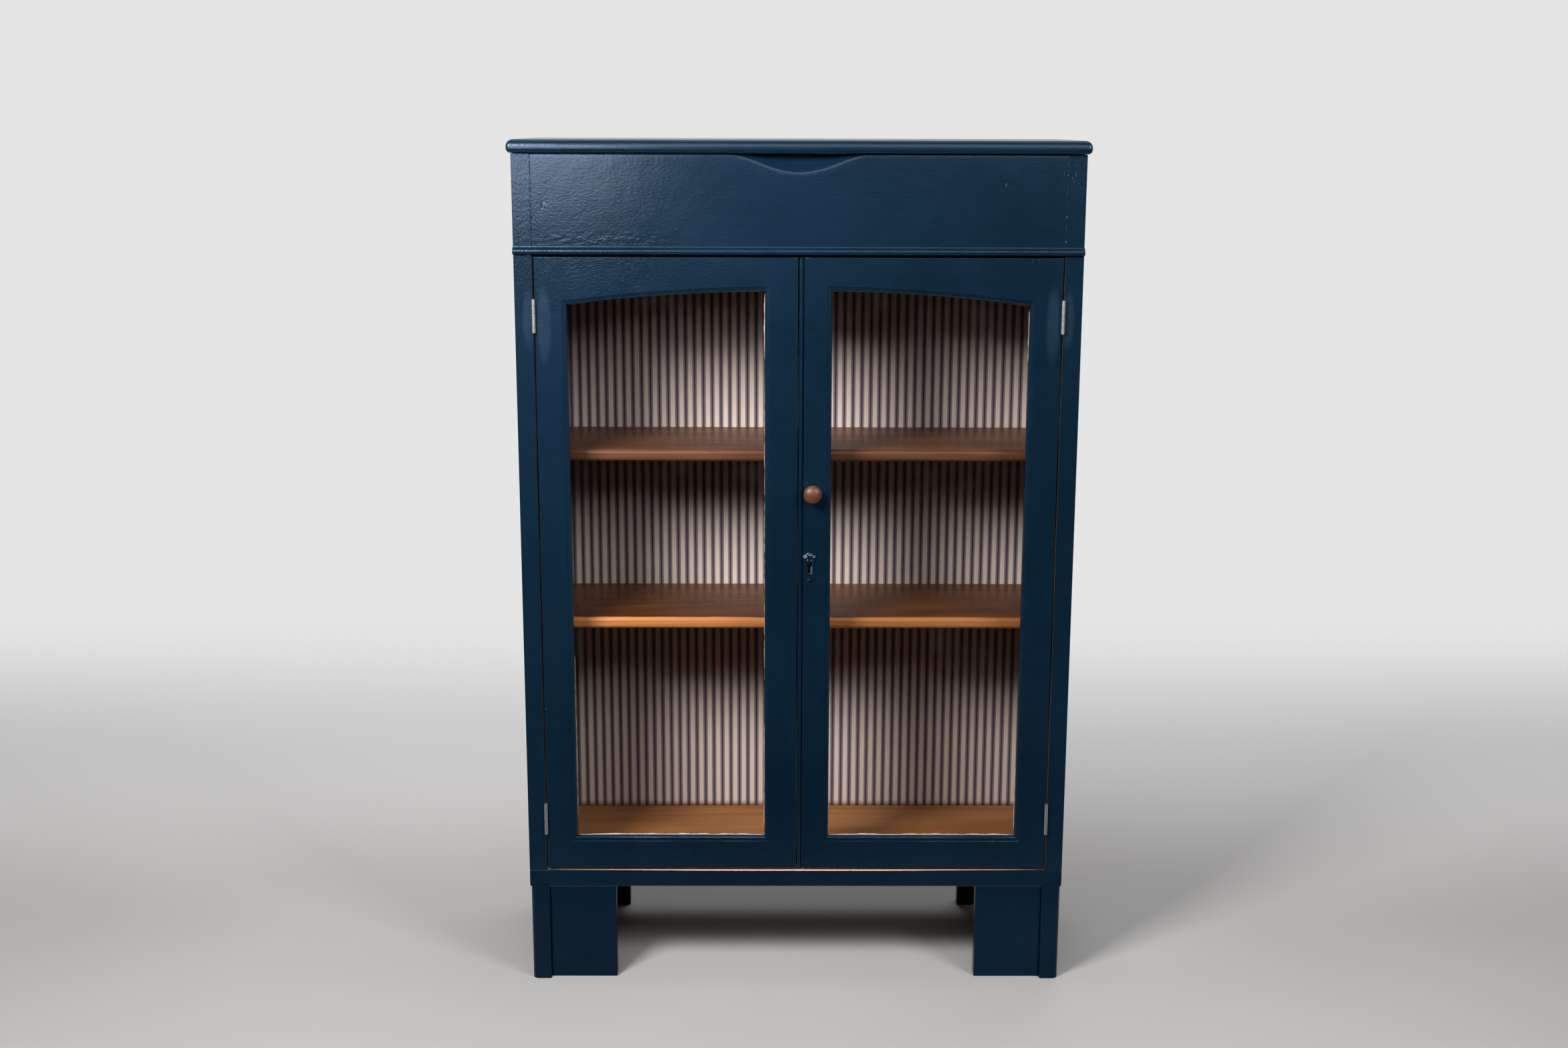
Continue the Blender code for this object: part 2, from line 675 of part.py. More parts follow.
def foot(side, row, parent):
    """One bracket foot: a front or back bracket, a side piece and a block in their corner."""
    at_front = row == "front"
    tag = f"{row}_{SIDE_NAMES[side]}"
    face = 0.0 if at_front else BODY_DEPTH
    inward = 1 if at_front else -1
    start = at_depth(-FOOT_PROUD if at_front else BODY_DEPTH - FOOT_SIDE_LENGTH)
    end = at_depth(FOOT_SIDE_LENGTH if at_front else BODY_DEPTH)

    plan = foot_side_outline(side, start, end, at_front)
    piece = extruded(f"foot_side_{tag}", plan, "Z", 0.0, FOOT_HEIGHT)
    bevel = piece.modifiers.new("rounded_rim", "BEVEL")
    bevel.width = EDGE_EASE
    bevel.segments = 2
    bevel.limit_method = "ANGLE"
    bevel.angle_limit = math.radians(60)
    shade_round(piece)
    make_part(piece, PAINT, parent)

    inner_face = face + inward * BRACKET_THICKNESS
    corner = (side * (BRACKET_OUTER - BRACKET_WIDTH), at_depth(face), 0.0)
    opposite = (side * BRACKET_OUTER, at_depth(inner_face), FOOT_HEIGHT)
    board(f"foot_bracket_{tag}", corner, opposite, PAINT, parent)

    seat = inner_face + inward * GLUE_GAP
    corner = (side * BRACKET_OUTER, at_depth(seat), FOOT_HEIGHT - BLOCK_HEIGHT)
    opposite = (side * (BRACKET_OUTER - BLOCK_SIZE), at_depth(seat + inward * BLOCK_SIZE), FOOT_HEIGHT)
    make_part(box(f"foot_block_{tag}", corner, opposite), PINE, parent)


# Lid

def lid_board(parent):
    """The lid, with a rounded nosing along its front and both ends."""
    reach = HALF_WIDTH + LID_SIDE_OVERHANG
    front = at_depth(-LID_FRONT_OVERHANG)
    back = at_depth(BODY_DEPTH)
    obj = box("lid_board", (-reach, front, LID_LOW), (reach, back, OVERALL_HEIGHT))

    def nosing(middle, run):
        if abs(middle.y - back) < CUT_MARGIN:
            return 0.0
        if abs(run.z) > CUT_MARGIN:
            return LID_CORNER_ROUND
        return LID_TOP_ROUND if middle.z > (LID_LOW + OVERALL_HEIGHT) / 2 else LID_UNDER_ROUND

    round_edges(obj, nosing, segments=5)
    return make_part(obj, PAINT, parent)


# Doors

def arch_height(across, offset):
    """Height of the arch over a point, for a curve drawn outside the sight edge by offset."""
    return ARCH_APEX - ARCH_RADIUS + math.sqrt((ARCH_RADIUS + offset) ** 2 - across ** 2)


def opening_outline(side, offset):
    """The glazed opening's outline in X and Z, widened by offset from the sight edge."""
    near = SIGHT_INNER - offset
    far = SIGHT_OUTER + offset
    outline = [(near, SIGHT_LOW - offset), (far, SIGHT_LOW - offset)]
    for step in range(ARCH_STEPS + 1):
        across = far + (near - far) * step / ARCH_STEPS
        outline.append((across, arch_height(across, offset)))
    return [(side * across, height) for across, height in outline]


def opening_loft(name, side, stations):
    """A solid through the opening's outline, from (depth, offset) stations."""
    sections = []
    for depth, offset in stations:
        sections.append([(x, at_depth(depth), z) for x, z in opening_outline(side, offset)])
    return lofted(name, sections)


def opening_tool(side):
    """What is cut from the frame: the ovolo and its step at the front, the lip, and the rebate behind."""
    stations = [(-CUT_MARGIN, STICKING_WIDTH)]
    for step in range(STICKING_STEPS + 1):
        angle = math.pi / 2 * step / STICKING_STEPS
        depth = STICKING_DEPTH - (STICKING_DEPTH - STICKING_STEP) * math.cos(angle)
        stations.append((depth, STICKING_WIDTH * (1 - math.sin(angle))))
    stations += [(LIP_BACK, 0.0), (LIP_BACK, REBATE_WIDTH), (DOOR_THICKNESS + CUT_MARGIN, REBATE_WIDTH)]
    eased_stations = [(depth, offset + SLIDE_CLEARANCE) for depth, offset in stations]
    return opening_loft(f"door_{SIDE_NAMES[side]}_opening", side, eased_stations)


def tenon_span(at_top):
    """Lower and upper edge of the tenons of the top or bottom rail, clear of the glass rebate."""
    if at_top:
        return ARCH_APEX + REBATE_WIDTH + TENON_SHOULDER, DOOR_TOP - TENON_SHOULDER
    return DOOR_LOW + TENON_SHOULDER, SIGHT_LOW - REBATE_WIDTH - TENON_SHOULDER


def tenon(name, side, at_top, root, tip, clearance):
    """A tenon between two places across the door, or with a clearance the mortise for it."""
    low, high = tenon_span(at_top)
    front = (DOOR_THICKNESS - TENON_THICKNESS) / 2
    corner = (side * root, at_depth(front - clearance), low - clearance)
    opposite = (side * tip, at_depth(front + TENON_THICKNESS + clearance), high + clearance)
    return box(name, corner, opposite)


def door_rim(middle, run):
    """Eases the edges on the outside of a door's frame and leaves its joints sharp."""
    at_end = middle.z < DOOR_LOW + CUT_MARGIN or middle.z > DOOR_TOP - CUT_MARGIN
    at_edge = abs(middle.x) > DOOR_OUTER - CUT_MARGIN or abs(middle.x) < DOOR_INNER + CUT_MARGIN
    return EDGE_EASE if at_end or at_edge else 0.0


def meeting_stile_outline():
    """Plan of the right door's meeting stile, with a quirked bead on its edge."""
    bead_end = DOOR_INNER + 2 * EDGE_BEAD_RADIUS
    plan = [(DOOR_INNER, DOOR_THICKNESS)]
    plan += arc((DOOR_INNER + EDGE_BEAD_RADIUS, EDGE_BEAD_RADIUS), EDGE_BEAD_RADIUS, 180, 360, 2 * ARC_STEPS)
    plan += [(bead_end, QUIRK_DEPTH), (bead_end + QUIRK_WIDTH, QUIRK_DEPTH), (bead_end + QUIRK_WIDTH, 0.0)]
    plan += [(SIGHT_INNER, 0.0), (SIGHT_INNER, DOOR_THICKNESS)]
    return [(across, at_depth(depth)) for across, depth in plan]


def door_stiles(side, opening, parent):
    """The hinge stile and the meeting stile, moulded, rebated and mortised."""
    tag = SIDE_NAMES[side]
    corner = (side * SIGHT_OUTER, at_depth(0), DOOR_LOW)
    opposite = (side * DOOR_OUTER, at_depth(DOOR_THICKNESS), DOOR_TOP)
    hinge_stile = box(f"door_{tag}_hinge_stile", corner, opposite)
    round_edges(hinge_stile, door_rim)
    if side == RIGHT:
        plan = meeting_stile_outline()
        meeting_stile = extruded(f"door_{tag}_meeting_stile", plan, "Z", DOOR_LOW, DOOR_TOP)
        shade_round(meeting_stile)
    else:
        corner = (side * DOOR_INNER, at_depth(0), DOOR_LOW)
        opposite = (side * SIGHT_INNER, at_depth(DOOR_THICKNESS), DOOR_TOP)
        meeting_stile = box(f"door_{tag}_meeting_stile", corner, opposite)
        round_edges(meeting_stile, door_rim)
    mortises = [
        (hinge_stile, SIGHT_OUTER - CUT_MARGIN, SIGHT_OUTER + TENON_LENGTH),
        (meeting_stile, SIGHT_INNER + CUT_MARGIN, SIGHT_INNER - TENON_LENGTH),
    ]
    for stile, mouth, end in mortises:
        subtract(stile, opening)
        for at_top in (True, False):
            subtract(stile, tenon(f"{stile.name}_mortise", side, at_top, mouth, end, GLUE_GAP))
        make_part(stile, PAINT, parent)
    return hinge_stile, meeting_stile


def door_rail(side, at_top, opening, parent):
    """The arched top rail or the bottom rail, moulded and rebated, with a tenon at each end."""
    name = f"door_{SIDE_NAMES[side]}_{'top' if at_top else 'bottom'}_rail"
    near = SIGHT_INNER + GLUE_GAP
    far = SIGHT_OUTER - GLUE_GAP
    low = arch_height(SIGHT_OUTER, 0.0) - CUT_MARGIN if at_top else DOOR_LOW
    high = DOOR_TOP if at_top else SIGHT_LOW + CUT_MARGIN
    rail = box(name, (side * near, at_depth(0), low), (side * far, at_depth(DOOR_THICKNESS), high))
    reach = TENON_LENGTH - 2 * GLUE_GAP
    unite(rail, tenon(f"{name}_tenon", side, at_top, near + CUT_MARGIN, near - reach, 0.0))
    unite(rail, tenon(f"{name}_tenon", side, at_top, far - CUT_MARGIN, far + reach, 0.0))
    subtract(rail, opening)
    make_part(rail, PAINT, parent)


def door_glazing(side, parent):
    """The pane against the lip, and the ring of putty that holds it from behind."""
    tag = SIDE_NAMES[side]
    pane_outline = opening_outline(side, REBATE_WIDTH - GLASS_CLEARANCE)
    pane = extruded(f"door_{tag}_glass", pane_outline, "Y", at_depth(GLASS_FRONT), at_depth(GLASS_BACK))
    make_part(pane, GLASS, parent)

    front = GLASS_BACK + GLUE_GAP
    back = DOOR_THICKNESS - PUTTY_RECESS
    outer = opening_outline(side, REBATE_WIDTH - GLUE_GAP)
    ring = extruded(f"door_{tag}_putty", outer, "Y", at_depth(front), at_depth(back))
    slope = (REBATE_WIDTH - GLUE_GAP - 2 * PUTTY_MARGIN) / (back - front)
    stations = [
        (front - CUT_MARGIN, PUTTY_MARGIN - slope * CUT_MARGIN),
        (back + CUT_MARGIN, PUTTY_MARGIN + slope * (back - front + CUT_MARGIN)),
    ]
    subtract(ring, opening_loft(f"door_{tag}_putty_slope", side, stations))
    make_part(ring, PUTTY, parent)


def door(side, parent):
    opening = opening_tool(side)
    hinge_stile, meeting_stile = door_stiles(side, opening, parent)
    for at_top in (True, False):
        door_rail(side, at_top, opening, parent)
    door_glazing(side, parent)
    return hinge_stile, meeting_stile


def door_hinges(side, carcass, pivot, side_wood, stile):
    half = HINGE_LENGTH / 2
    heights = {"upper": DOOR_TOP - HINGE_TOP_INSET - half, "lower": DOOR_LOW + HINGE_BOTTOM_INSET + half}
    for level, height in heights.items():
        name = f"hinge_{level}_{SIDE_NAMES[side]}"
        frame = door_hinge_frame(side, height)
        butt_hinge(name, frame, "carcass", "door", carcass, pivot, side_wood, stile)


# Fittings of the right door

def knob(stile, parent):
    """A turned knob: domed head, waisted neck, flared base and a spigot glued into the stile."""
    head = KNOB_PROJECTION - KNOB_DOME
    neck = head - KNOB_UNDERCUT
    profile = [(0.0, KNOB_PROJECTION)]
    for step in range(1, ARC_STEPS + 1):
        angle = math.pi / 2 * step / ARC_STEPS
        profile.append((KNOB_RADIUS * math.sin(angle), head + KNOB_DOME * math.cos(angle)))
    for step in range(1, ARC_STEPS + 1):
        angle = math.pi / 2 * step / ARC_STEPS
        width = KNOB_NECK_RADIUS + (KNOB_RADIUS - KNOB_NECK_RADIUS) * math.cos(angle)
        profile.append((width, head - KNOB_UNDERCUT * math.sin(angle)))
    profile.append((KNOB_NECK_RADIUS, (neck + KNOB_BASE_HEIGHT) / 2))
    profile += [(KNOB_BASE_RADIUS, KNOB_BASE_HEIGHT), (KNOB_BASE_RADIUS, 0.0)]
    profile += [(SPIGOT_RADIUS, 0.0), (SPIGOT_RADIUS, -SPIGOT_LENGTH), (0.0, -SPIGOT_LENGTH)]
    place = Matrix.Translation((KNOB_X, at_depth(-GLUE_GAP), KNOB_Z))
    make_part(turned("knob", profile, KNOB_STEPS, place @ ALONG["Y"]), KNOB_WOOD, parent)
    depth = SPIGOT_LENGTH + CUT_MARGIN
    middle = (KNOB_X, at_depth(depth / 2 - CUT_MARGIN), KNOB_Z)
    subtract(stile, cylinder("knob_hole", SPIGOT_RADIUS + GLUE_GAP, depth + CUT_MARGIN, middle, "Y"))


def keyhole_tool():
    """A round hole with a slot below it, long enough to pass through the plate, stile and lock face."""
    half = KEYHOLE_SLOT_WIDTH / 2
    lean = math.degrees(math.asin(half / KEYHOLE_RADIUS))
    outline = arc((KEYHOLE_X, KEYHOLE_Z), KEYHOLE_RADIUS, -90 + lean, 270 - lean, 2 * ARC_STEPS)
    foot_of_slot = KEYHOLE_Z - KEYHOLE_SLOT_LENGTH
    outline += [(KEYHOLE_X - half, foot_of_slot), (KEYHOLE_X + half, foot_of_slot)]
    reach = FITTING_FACE + LOCK_THICKNESS / 2
    return extruded("keyhole", outline, "Y", at_depth(-PLATE_THICKNESS - CUT_MARGIN), at_depth(reach))


def plate_outline():
    """The keyhole plate: round foot, drawn-in waist and a crown of three lobes."""
    waist = math.degrees(math.asin(PLATE_WAIST_RISE / PLATE_WAIST_RADIUS))
    waist_centre = (PLATE_WAIST_HALF + PLATE_WAIST_RADIUS, 0.0)
    half = arc((0.0, -PLATE_FOOT_DROP), PLATE_FOOT_RADIUS, 270, 345)
    half += arc(waist_centre, PLATE_WAIST_RADIUS, 180 + waist, 180 - waist)
    half += arc((PLATE_LOBE_X, PLATE_LOBE_RISE), PLATE_LOBE_RADIUS, -45, 110)
    half += arc((0.0, PLATE_CROWN_RISE), PLATE_CROWN_RADIUS, 40, 90)
    mirrored = [(-across, up) for across, up in reversed(half[1:-1])]
    height = KEYHOLE_Z - PLATE_DROP
    return [(KEYHOLE_X + across, height + up) for across, up in half + mirrored]


def lock(meeting_stile, door_pivot):
    """Keyhole plate in front of the stile, lock case behind it, and the bolt that slides out of the case."""
    keyhole = keyhole_tool()
    subtract(meeting_stile, keyhole)
    front = at_depth(-GLUE_GAP - PLATE_THICKNESS)
    plate = extruded("keyhole_plate", plate_outline(), "Y", front, at_depth(-GLUE_GAP))
    subtract(plate, keyhole)
    make_part(plate, PAINT, door_pivot)

    near = DOOR_INNER + LOCK_EDGE_INSET
    middle = KEYHOLE_Z - LOCK_DROP
    corner = (near, at_depth(FITTING_FACE), middle - LOCK_HEIGHT / 2)
    opposite = (near + LOCK_WIDTH, at_depth(FITTING_FACE + LOCK_THICKNESS), middle + LOCK_HEIGHT / 2)
    case = box("lock_case", corner, opposite)
    subtract(case, keyhole)

    tip = near + LOCK_BOLT_SETBACK
    tail = tip + LOCK_BOLT_LENGTH
    low = KEYHOLE_Z + LOCK_BOLT_RISE - LOCK_BOLT_HEIGHT / 2
    high = low + LOCK_BOLT_HEIGHT
    face = FITTING_FACE + LOCK_WALL + SLIDE_CLEARANCE
    back = face + LOCK_BOLT_THICKNESS
    fit = SLIDE_CLEARANCE
    corner = (near - CUT_MARGIN, at_depth(face - fit), low - fit)
    subtract(case, box("bolt_channel", corner, (tail + fit, at_depth(back + fit), high + fit)))
    make_part(case, BRASS, door_pivot)

    place = (tip, at_depth((face + back) / 2), (low + high) / 2)
    slide = add_pivot("lock_bolt_slide", place, door_pivot)
    bolt = box("lock_bolt", (tip, at_depth(face), low), (tail, at_depth(back), high))
    make_part(bolt, BRASS, slide)


# Fittings of the left door

def slide_bolt(door_pivot):
    """A small bolt inside the left door: a guide plate with two staples, and a rod with a thumb piece."""
    top = DOOR_TOP - GUIDE_TOP_INSET
    base = top - GUIDE_HEIGHT
    half = GUIDE_WIDTH / 2
    plate_back = FITTING_FACE + GUIDE_THICKNESS
    corner = (-ROD_X - half, at_depth(FITTING_FACE), base)
    guide = box("bolt_guide", corner, (-ROD_X + half, at_depth(plate_back), top))
    staple_back = ROD_DEPTH + ROD_RADIUS + STAPLE_WALL
    for low in (base + STAPLE_INSET, top - STAPLE_INSET - STAPLE_HEIGHT):
        corner = (-ROD_X - STAPLE_WIDTH / 2, at_depth(plate_back - CUT_MARGIN), low)
        opposite = (-ROD_X + STAPLE_WIDTH / 2, at_depth(staple_back), low + STAPLE_HEIGHT)
        unite(guide, box("bolt_staple", corner, opposite))
    middle = (-ROD_X, at_depth(ROD_DEPTH), (base + top) / 2)
    subtract(guide, cylinder("bolt_bore", ROD_RADIUS + SLIDE_CLEARANCE, 2 * GUIDE_HEIGHT, middle, "Z"))
    make_part(guide, BRASS, door_pivot)

    tip = DOOR_TOP - ROD_TIP_INSET
    tail = base - ROD_TAIL
    slide = add_pivot("door_bolt_slide", (-ROD_X, at_depth(ROD_DEPTH), tip), door_pivot)
    rod = cylinder("bolt_rod", ROD_RADIUS, tip - tail, (-ROD_X, at_depth(ROD_DEPTH), (tip + tail) / 2), "Z")
    reach = at_depth(ROD_DEPTH + THUMB_LENGTH / 2)
    unite(rod, cylinder("bolt_thumb_piece", THUMB_RADIUS, THUMB_LENGTH, (-ROD_X, reach, middle[2]), "Y"))
    shade_round(rod)
    make_part(rod, BRASS, slide)


def build():
    carcass = add_pivot("carcass", (0.0, 0.0, 0.0))
    sides = {side: side_board(side, carcass) for side in (LEFT, RIGHT)}
    bottom_board(carcass)
    shelf("shelf_lower", LOWER_SHELF_LOW, carcass)
    shelf("shelf_upper", UPPER_SHELF_LOW, carcass)
    compartment_floor(carcass)
    frieze_board(carcass)
    waist_moulding(carcass)
    back_board = back_of_carcass(carcass)
    for side in (LEFT, RIGHT):
        for row in ("front", "back"):
            foot(side, row, carcass)

    lid_pivot = add_pivot("lid", lid_hinge_frame(RIGHT).translation * Vector((0, 1, 1)), carcass)
    lid = lid_board(lid_pivot)
    for side in (LEFT, RIGHT):
        name = f"lid_hinge_{SIDE_NAMES[side]}"
        frame = lid_hinge_frame(side)
        butt_hinge(name, frame, "carcass", "lid", carcass, lid_pivot, back_board, lid)

    pivots = {}
    meeting_stiles = {}
    for side in (LEFT, RIGHT):
        place = (side * HINGE_X, at_depth(-HINGE_OFFSET), DOOR_LOW)
        pivots[side] = add_pivot(f"door_{SIDE_NAMES[side]}", place, carcass)
        hinge_stile, meeting_stiles[side] = door(side, pivots[side])
        door_hinges(side, carcass, pivots[side], sides[side], hinge_stile)
    knob(meeting_stiles[RIGHT], pivots[RIGHT])
    lock(meeting_stiles[RIGHT], pivots[RIGHT])
    slide_bolt(pivots[LEFT])


build()
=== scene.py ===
import json
import math

import bmesh
import bpy
from mathutils import Matrix, Vector, noise

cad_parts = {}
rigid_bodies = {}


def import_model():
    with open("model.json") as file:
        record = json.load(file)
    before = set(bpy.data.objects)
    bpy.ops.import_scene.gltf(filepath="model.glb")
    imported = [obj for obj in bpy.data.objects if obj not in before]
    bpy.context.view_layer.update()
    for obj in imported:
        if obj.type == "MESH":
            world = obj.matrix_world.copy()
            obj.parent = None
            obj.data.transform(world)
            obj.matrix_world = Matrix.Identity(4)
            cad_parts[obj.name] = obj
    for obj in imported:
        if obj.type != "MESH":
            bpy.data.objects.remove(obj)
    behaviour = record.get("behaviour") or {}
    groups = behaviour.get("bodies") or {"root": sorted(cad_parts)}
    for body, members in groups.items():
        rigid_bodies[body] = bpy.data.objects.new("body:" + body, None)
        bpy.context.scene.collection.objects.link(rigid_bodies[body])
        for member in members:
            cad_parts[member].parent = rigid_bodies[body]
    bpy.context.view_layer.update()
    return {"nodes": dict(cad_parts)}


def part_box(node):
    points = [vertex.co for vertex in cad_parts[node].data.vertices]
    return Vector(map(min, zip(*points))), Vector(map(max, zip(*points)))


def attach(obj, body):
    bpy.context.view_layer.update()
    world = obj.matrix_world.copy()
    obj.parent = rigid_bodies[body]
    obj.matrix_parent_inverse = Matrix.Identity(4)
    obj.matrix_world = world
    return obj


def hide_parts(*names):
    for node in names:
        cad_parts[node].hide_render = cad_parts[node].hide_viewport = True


for leftover in list(bpy.data.objects):
    bpy.data.objects.remove(leftover)
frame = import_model()

# Sizes of the solids in metres: across from the middle, depths behind FRONT, heights above the floor
FRONT = -0.12805
BODY_DEPTH = 0.275
INNER = 0.360
BOTTOM_TOP = 0.1648
CARCASS_TOP = 1.1816
LID_LOW = 1.182
SHELF_FRONT = FRONT + 0.060
DOOR_THICKNESS = 0.020
DOOR_INNER = 0.0006
DOOR_INNER_BACK = 0.00002
DOOR_OUTER = 0.358
DOOR_LOW = 0.169
DOOR_TOP = 1.0446
SIGHT_INNER = 0.046
SIGHT_OUTER = 0.3145
SIGHT_LOW = 0.216
ARCH_APEX = 0.9994
ARCH_RADIUS = 2.530
STICKING_WIDTH = 0.0065
STICKING_STEP = 0.0012
STICKING_DEPTH = 0.007
LIP_BACK = 0.0095
REBATE_WIDTH = 0.007
GLASS_FRONT = 0.0098
EDGE_EASE = 0.0008
FACE_EASE = 0.0005
EDGE_BEAD_RADIUS = 0.003
QUIRK_WIDTH = 0.0013
QUIRK_DEPTH = 0.0035
BEAD_END = DOOR_INNER + 2 * EDGE_BEAD_RADIUS + QUIRK_WIDTH
HINGE_X = 0.359
HINGE_HALF = 0.0225
HINGE_HEIGHTS = (DOOR_TOP - 0.057 - HINGE_HALF, DOOR_LOW + 0.0525 + HINGE_HALF)
LEAF_WIDTH = 0.012
LEAF_FACE = 0.0002
LEAF_THICKNESS = 0.0012
SEAT_GAP = 0.0003
LID_HINGE_X = 0.250
SCREW_SPACING = 0.0160
SCREW_INSET = 0.0062
SCREW_STAGGER = 0.0022
KNOB_X = 0.0203
KNOB_Z = 0.722
KNOB_RADIUS = 0.0128
KNOB_WIDEST = 0.0160
KNOB_CROWN = 0.0080
KNOB_UNDERSIDE = 0.0070
KNOB_NECK = 0.0060
KEYHOLE_X = 0.0165
KEYHOLE_Z = 0.619
KEYHOLE_RADIUS = 0.0036
KEYHOLE_SLOT_HALF = 0.0017
KEYHOLE_DROP = 0.0116
PLATE_DROP = 0.003
FITTING_GAP = 0.0003
FITTING_FACE = 0.0203
LINING_FRONT = 0.2629
LINING_HALF = 0.3597
LINING_LOW = 0.1651
LINING_HIGH = 1.0483
FRIEZE_GROOVE = 0.0007
FRIEZE_FOOT_GROOVE = 0.0008
WAIST_TOP = 1.0602
SCOOP_HALF = 0.090
SCOOP_HEIGHT = 0.0242
SCOOP_DEPTH = 0.0140
SCOOP_BLUNT = 0.22
SCOOP_RIM = 0.08

SIDES = {-1: "left", 1: "right"}
SHARP_ANGLE = 35


# Material nodes

def operation(kind):
    """A method of Wire that adds a math node."""
    return lambda wire, *others: wire.shader.math(kind, wire, *others)


class Wire:
    """A number or vector on its way through a material's nodes."""

    def __init__(self, shader, socket):
        self.shader = shader
        self.socket = socket

    def __rsub__(self, other):
        return self.shader.math("SUBTRACT", other, self)

    __add__ = __radd__ = operation("ADD")
    __sub__ = operation("SUBTRACT")
    __mul__ = __rmul__ = operation("MULTIPLY")
    __truediv__ = operation("DIVIDE")
    __abs__ = operation("ABSOLUTE")


class Nodes:
    """Short calls for the nodes of a material or of the world."""

    def __init__(self, tree):
        self.tree = tree
        tree.nodes.clear()

    def add(self, kind, inputs=None, **settings):
        node = self.tree.nodes.new(kind)
        for name, value in settings.items():
            setattr(node, name, value)
        for name, value in (inputs or {}).items():
            self.feed(node.inputs[name], value)
        return node

    def feed(self, socket, value):
        if isinstance(value, Wire):
            value = value.socket
        elif isinstance(value, bpy.types.Node):
            value = value.outputs[0]
        if isinstance(value, bpy.types.NodeSocket):
            self.tree.links.new(value, socket)
        elif hasattr(value, "__len__") and len(value) == 3 and len(socket.default_value) == 4:
            socket.default_value = (*value, 1.0)
        else:
            socket.default_value = value

    def math(self, operation, *values):
        node = self.add("ShaderNodeMath", operation=operation)
        for socket, value in zip(node.inputs, values):
            self.feed(socket, value)
        return Wire(self, node.outputs[0])

    def step(self, value, low, high):
        """Rises smoothly from 0 to 1 between low and high, or falls where high is the lower one."""
        inputs = {"Value": value, "From Min": low, "From Max": high}
        node = self.add("ShaderNodeMapRange", inputs, interpolation_type="SMOOTHSTEP")
        return Wire(self, node.outputs["Result"])

    def mix(self, share, first, second):
        inputs = {"Factor": share, 6: first, 7: second}
        return self.add("ShaderNodeMix", inputs, data_type="RGBA").outputs[2]

    def between(self, share, first, second):
        inputs = {"Factor": share, 2: first, 3: second}
        return Wire(self, self.add("ShaderNodeMix", inputs, data_type="FLOAT").outputs[0])

    def blend(self, share, first, second):
        return self.add("ShaderNodeMixShader", {0: share, 1: first, 2: second})

    def shown(self):
        """1 where the surface is seen, mirrored or seen through glass, 0 where it only sheds light."""
        path = self.add("ShaderNodeLightPath").outputs
        mirrored = self.math("MAXIMUM", path["Is Glossy Ray"], path["Is Transmission Ray"])
        return self.math("MAXIMUM", path["Is Camera Ray"], mirrored)


class Shader(Nodes):
    """A material's nodes. Places are in the cabinet's frame."""

    def __init__(self, name):
        self.material = bpy.data.materials.new(name)
        self.material.use_nodes = True
        super().__init__(self.material.node_tree)
        self.place = self.add("ShaderNodeTexCoord").outputs["Object"]
        split = self.add("ShaderNodeSeparateXYZ", {"Vector": self.place})
        self.x, self.y, self.z = (Wire(self, socket) for socket in split.outputs)

    def noise(self, scale, stretch=(1, 1, 1), detail=2.0, roughness=0.5, distortion=0.0):
        place = self.add("ShaderNodeVectorMath", {0: self.place, 1: stretch}, operation="MULTIPLY")
        inputs = {"Vector": place, "Scale": scale, "Detail": detail, "Roughness": roughness}
        inputs["Distortion"] = distortion
        return Wire(self, self.add("ShaderNodeTexNoise", inputs).outputs[0])

    def specks(self, scale, size, share):
        """Sparse dots: one in a cell, of a size in metres, in that share of the cells."""
        node = self.add("ShaderNodeTexVoronoi", {"Vector": self.place, "Scale": scale})
        chance = self.add("ShaderNodeSeparateColor", {"Color": node.outputs["Color"]})
        dot = self.step(node.outputs["Distance"], size * scale, size * scale * 0.5)
        return dot * self.math("LESS_THAN", chance, share)

    def spot(self, x, z, half_width, half_height):
        """1 in the middle of an oval on the front, fading out at its rim."""
        across = (self.x - x) / half_width
        up = (self.z - z) / half_height
        return self.step(across * across + up * up, 1.0, 0.2)

    def spots(self, places):
        """Several such ovals together."""
        first, *others = [self.spot(*place) for place in places]
        return sum(others, first)

    def surface(self, colour, roughness, height, depth, shine=0.5, **constants):
        """Ends the material: a Principled shader whose bump has a depth in metres."""
        inputs = {"Height": height, "Distance": depth, "Strength": 1.0}
        bump = self.add("ShaderNodeBump", inputs).outputs["Normal"]
        inputs = {"Base Color": colour, "Roughness": roughness, "Normal": bump, "Specular IOR Level": shine}
        inputs.update({name.replace("_", " "): value for name, value in constants.items()})
        self.finish(self.add("ShaderNodeBsdfPrincipled", inputs))
        return self.material

    def finish(self, node):
        self.add("ShaderNodeOutputMaterial", {"Surface": node})


PAINT_DEEP = (0.0015, 0.0103, 0.0234)
PAINT_LIGHT = (0.0028, 0.0150, 0.0328)
PAINT_CHALKY = (0.020, 0.040, 0.075)
PAINT_SCUFF = (0.26, 0.31, 0.38)
PAINT_SHINE = (0.60, 0.75, 1.0)

# Woods, cloth, putty and metals, each in two tones
OLD_PINE = ((0.385, 0.164, 0.056), (0.265, 0.096, 0.028))
RAW_PINE = ((0.62, 0.335, 0.185), (0.46, 0.215, 0.100))
# Bare wood under the doors, made paler with painted light so that its part in the doors' shadow looks lit
STRIP_PINE_PAINTED_LIGHT = ((0.84, 0.555, 0.400), (0.72, 0.440, 0.300))
DULL_PINE = ((0.27, 0.165, 0.085), (0.165, 0.088, 0.042))
INSIDE_WOOD = ((0.150, 0.072, 0.036), (0.082, 0.037, 0.018))
KNOB_WOOD = ((0.150, 0.0465, 0.0208), (0.068, 0.0200, 0.0090))
CLOTH_CREAM = ((0.72, 0.592, 0.528), (0.64, 0.523, 0.465))
CLOTH_HALF_TONE = ((0.136, 0.109, 0.129), (0.362, 0.294, 0.312))
PUTTY = ((0.70, 0.67, 0.62), (0.40, 0.38, 0.35))
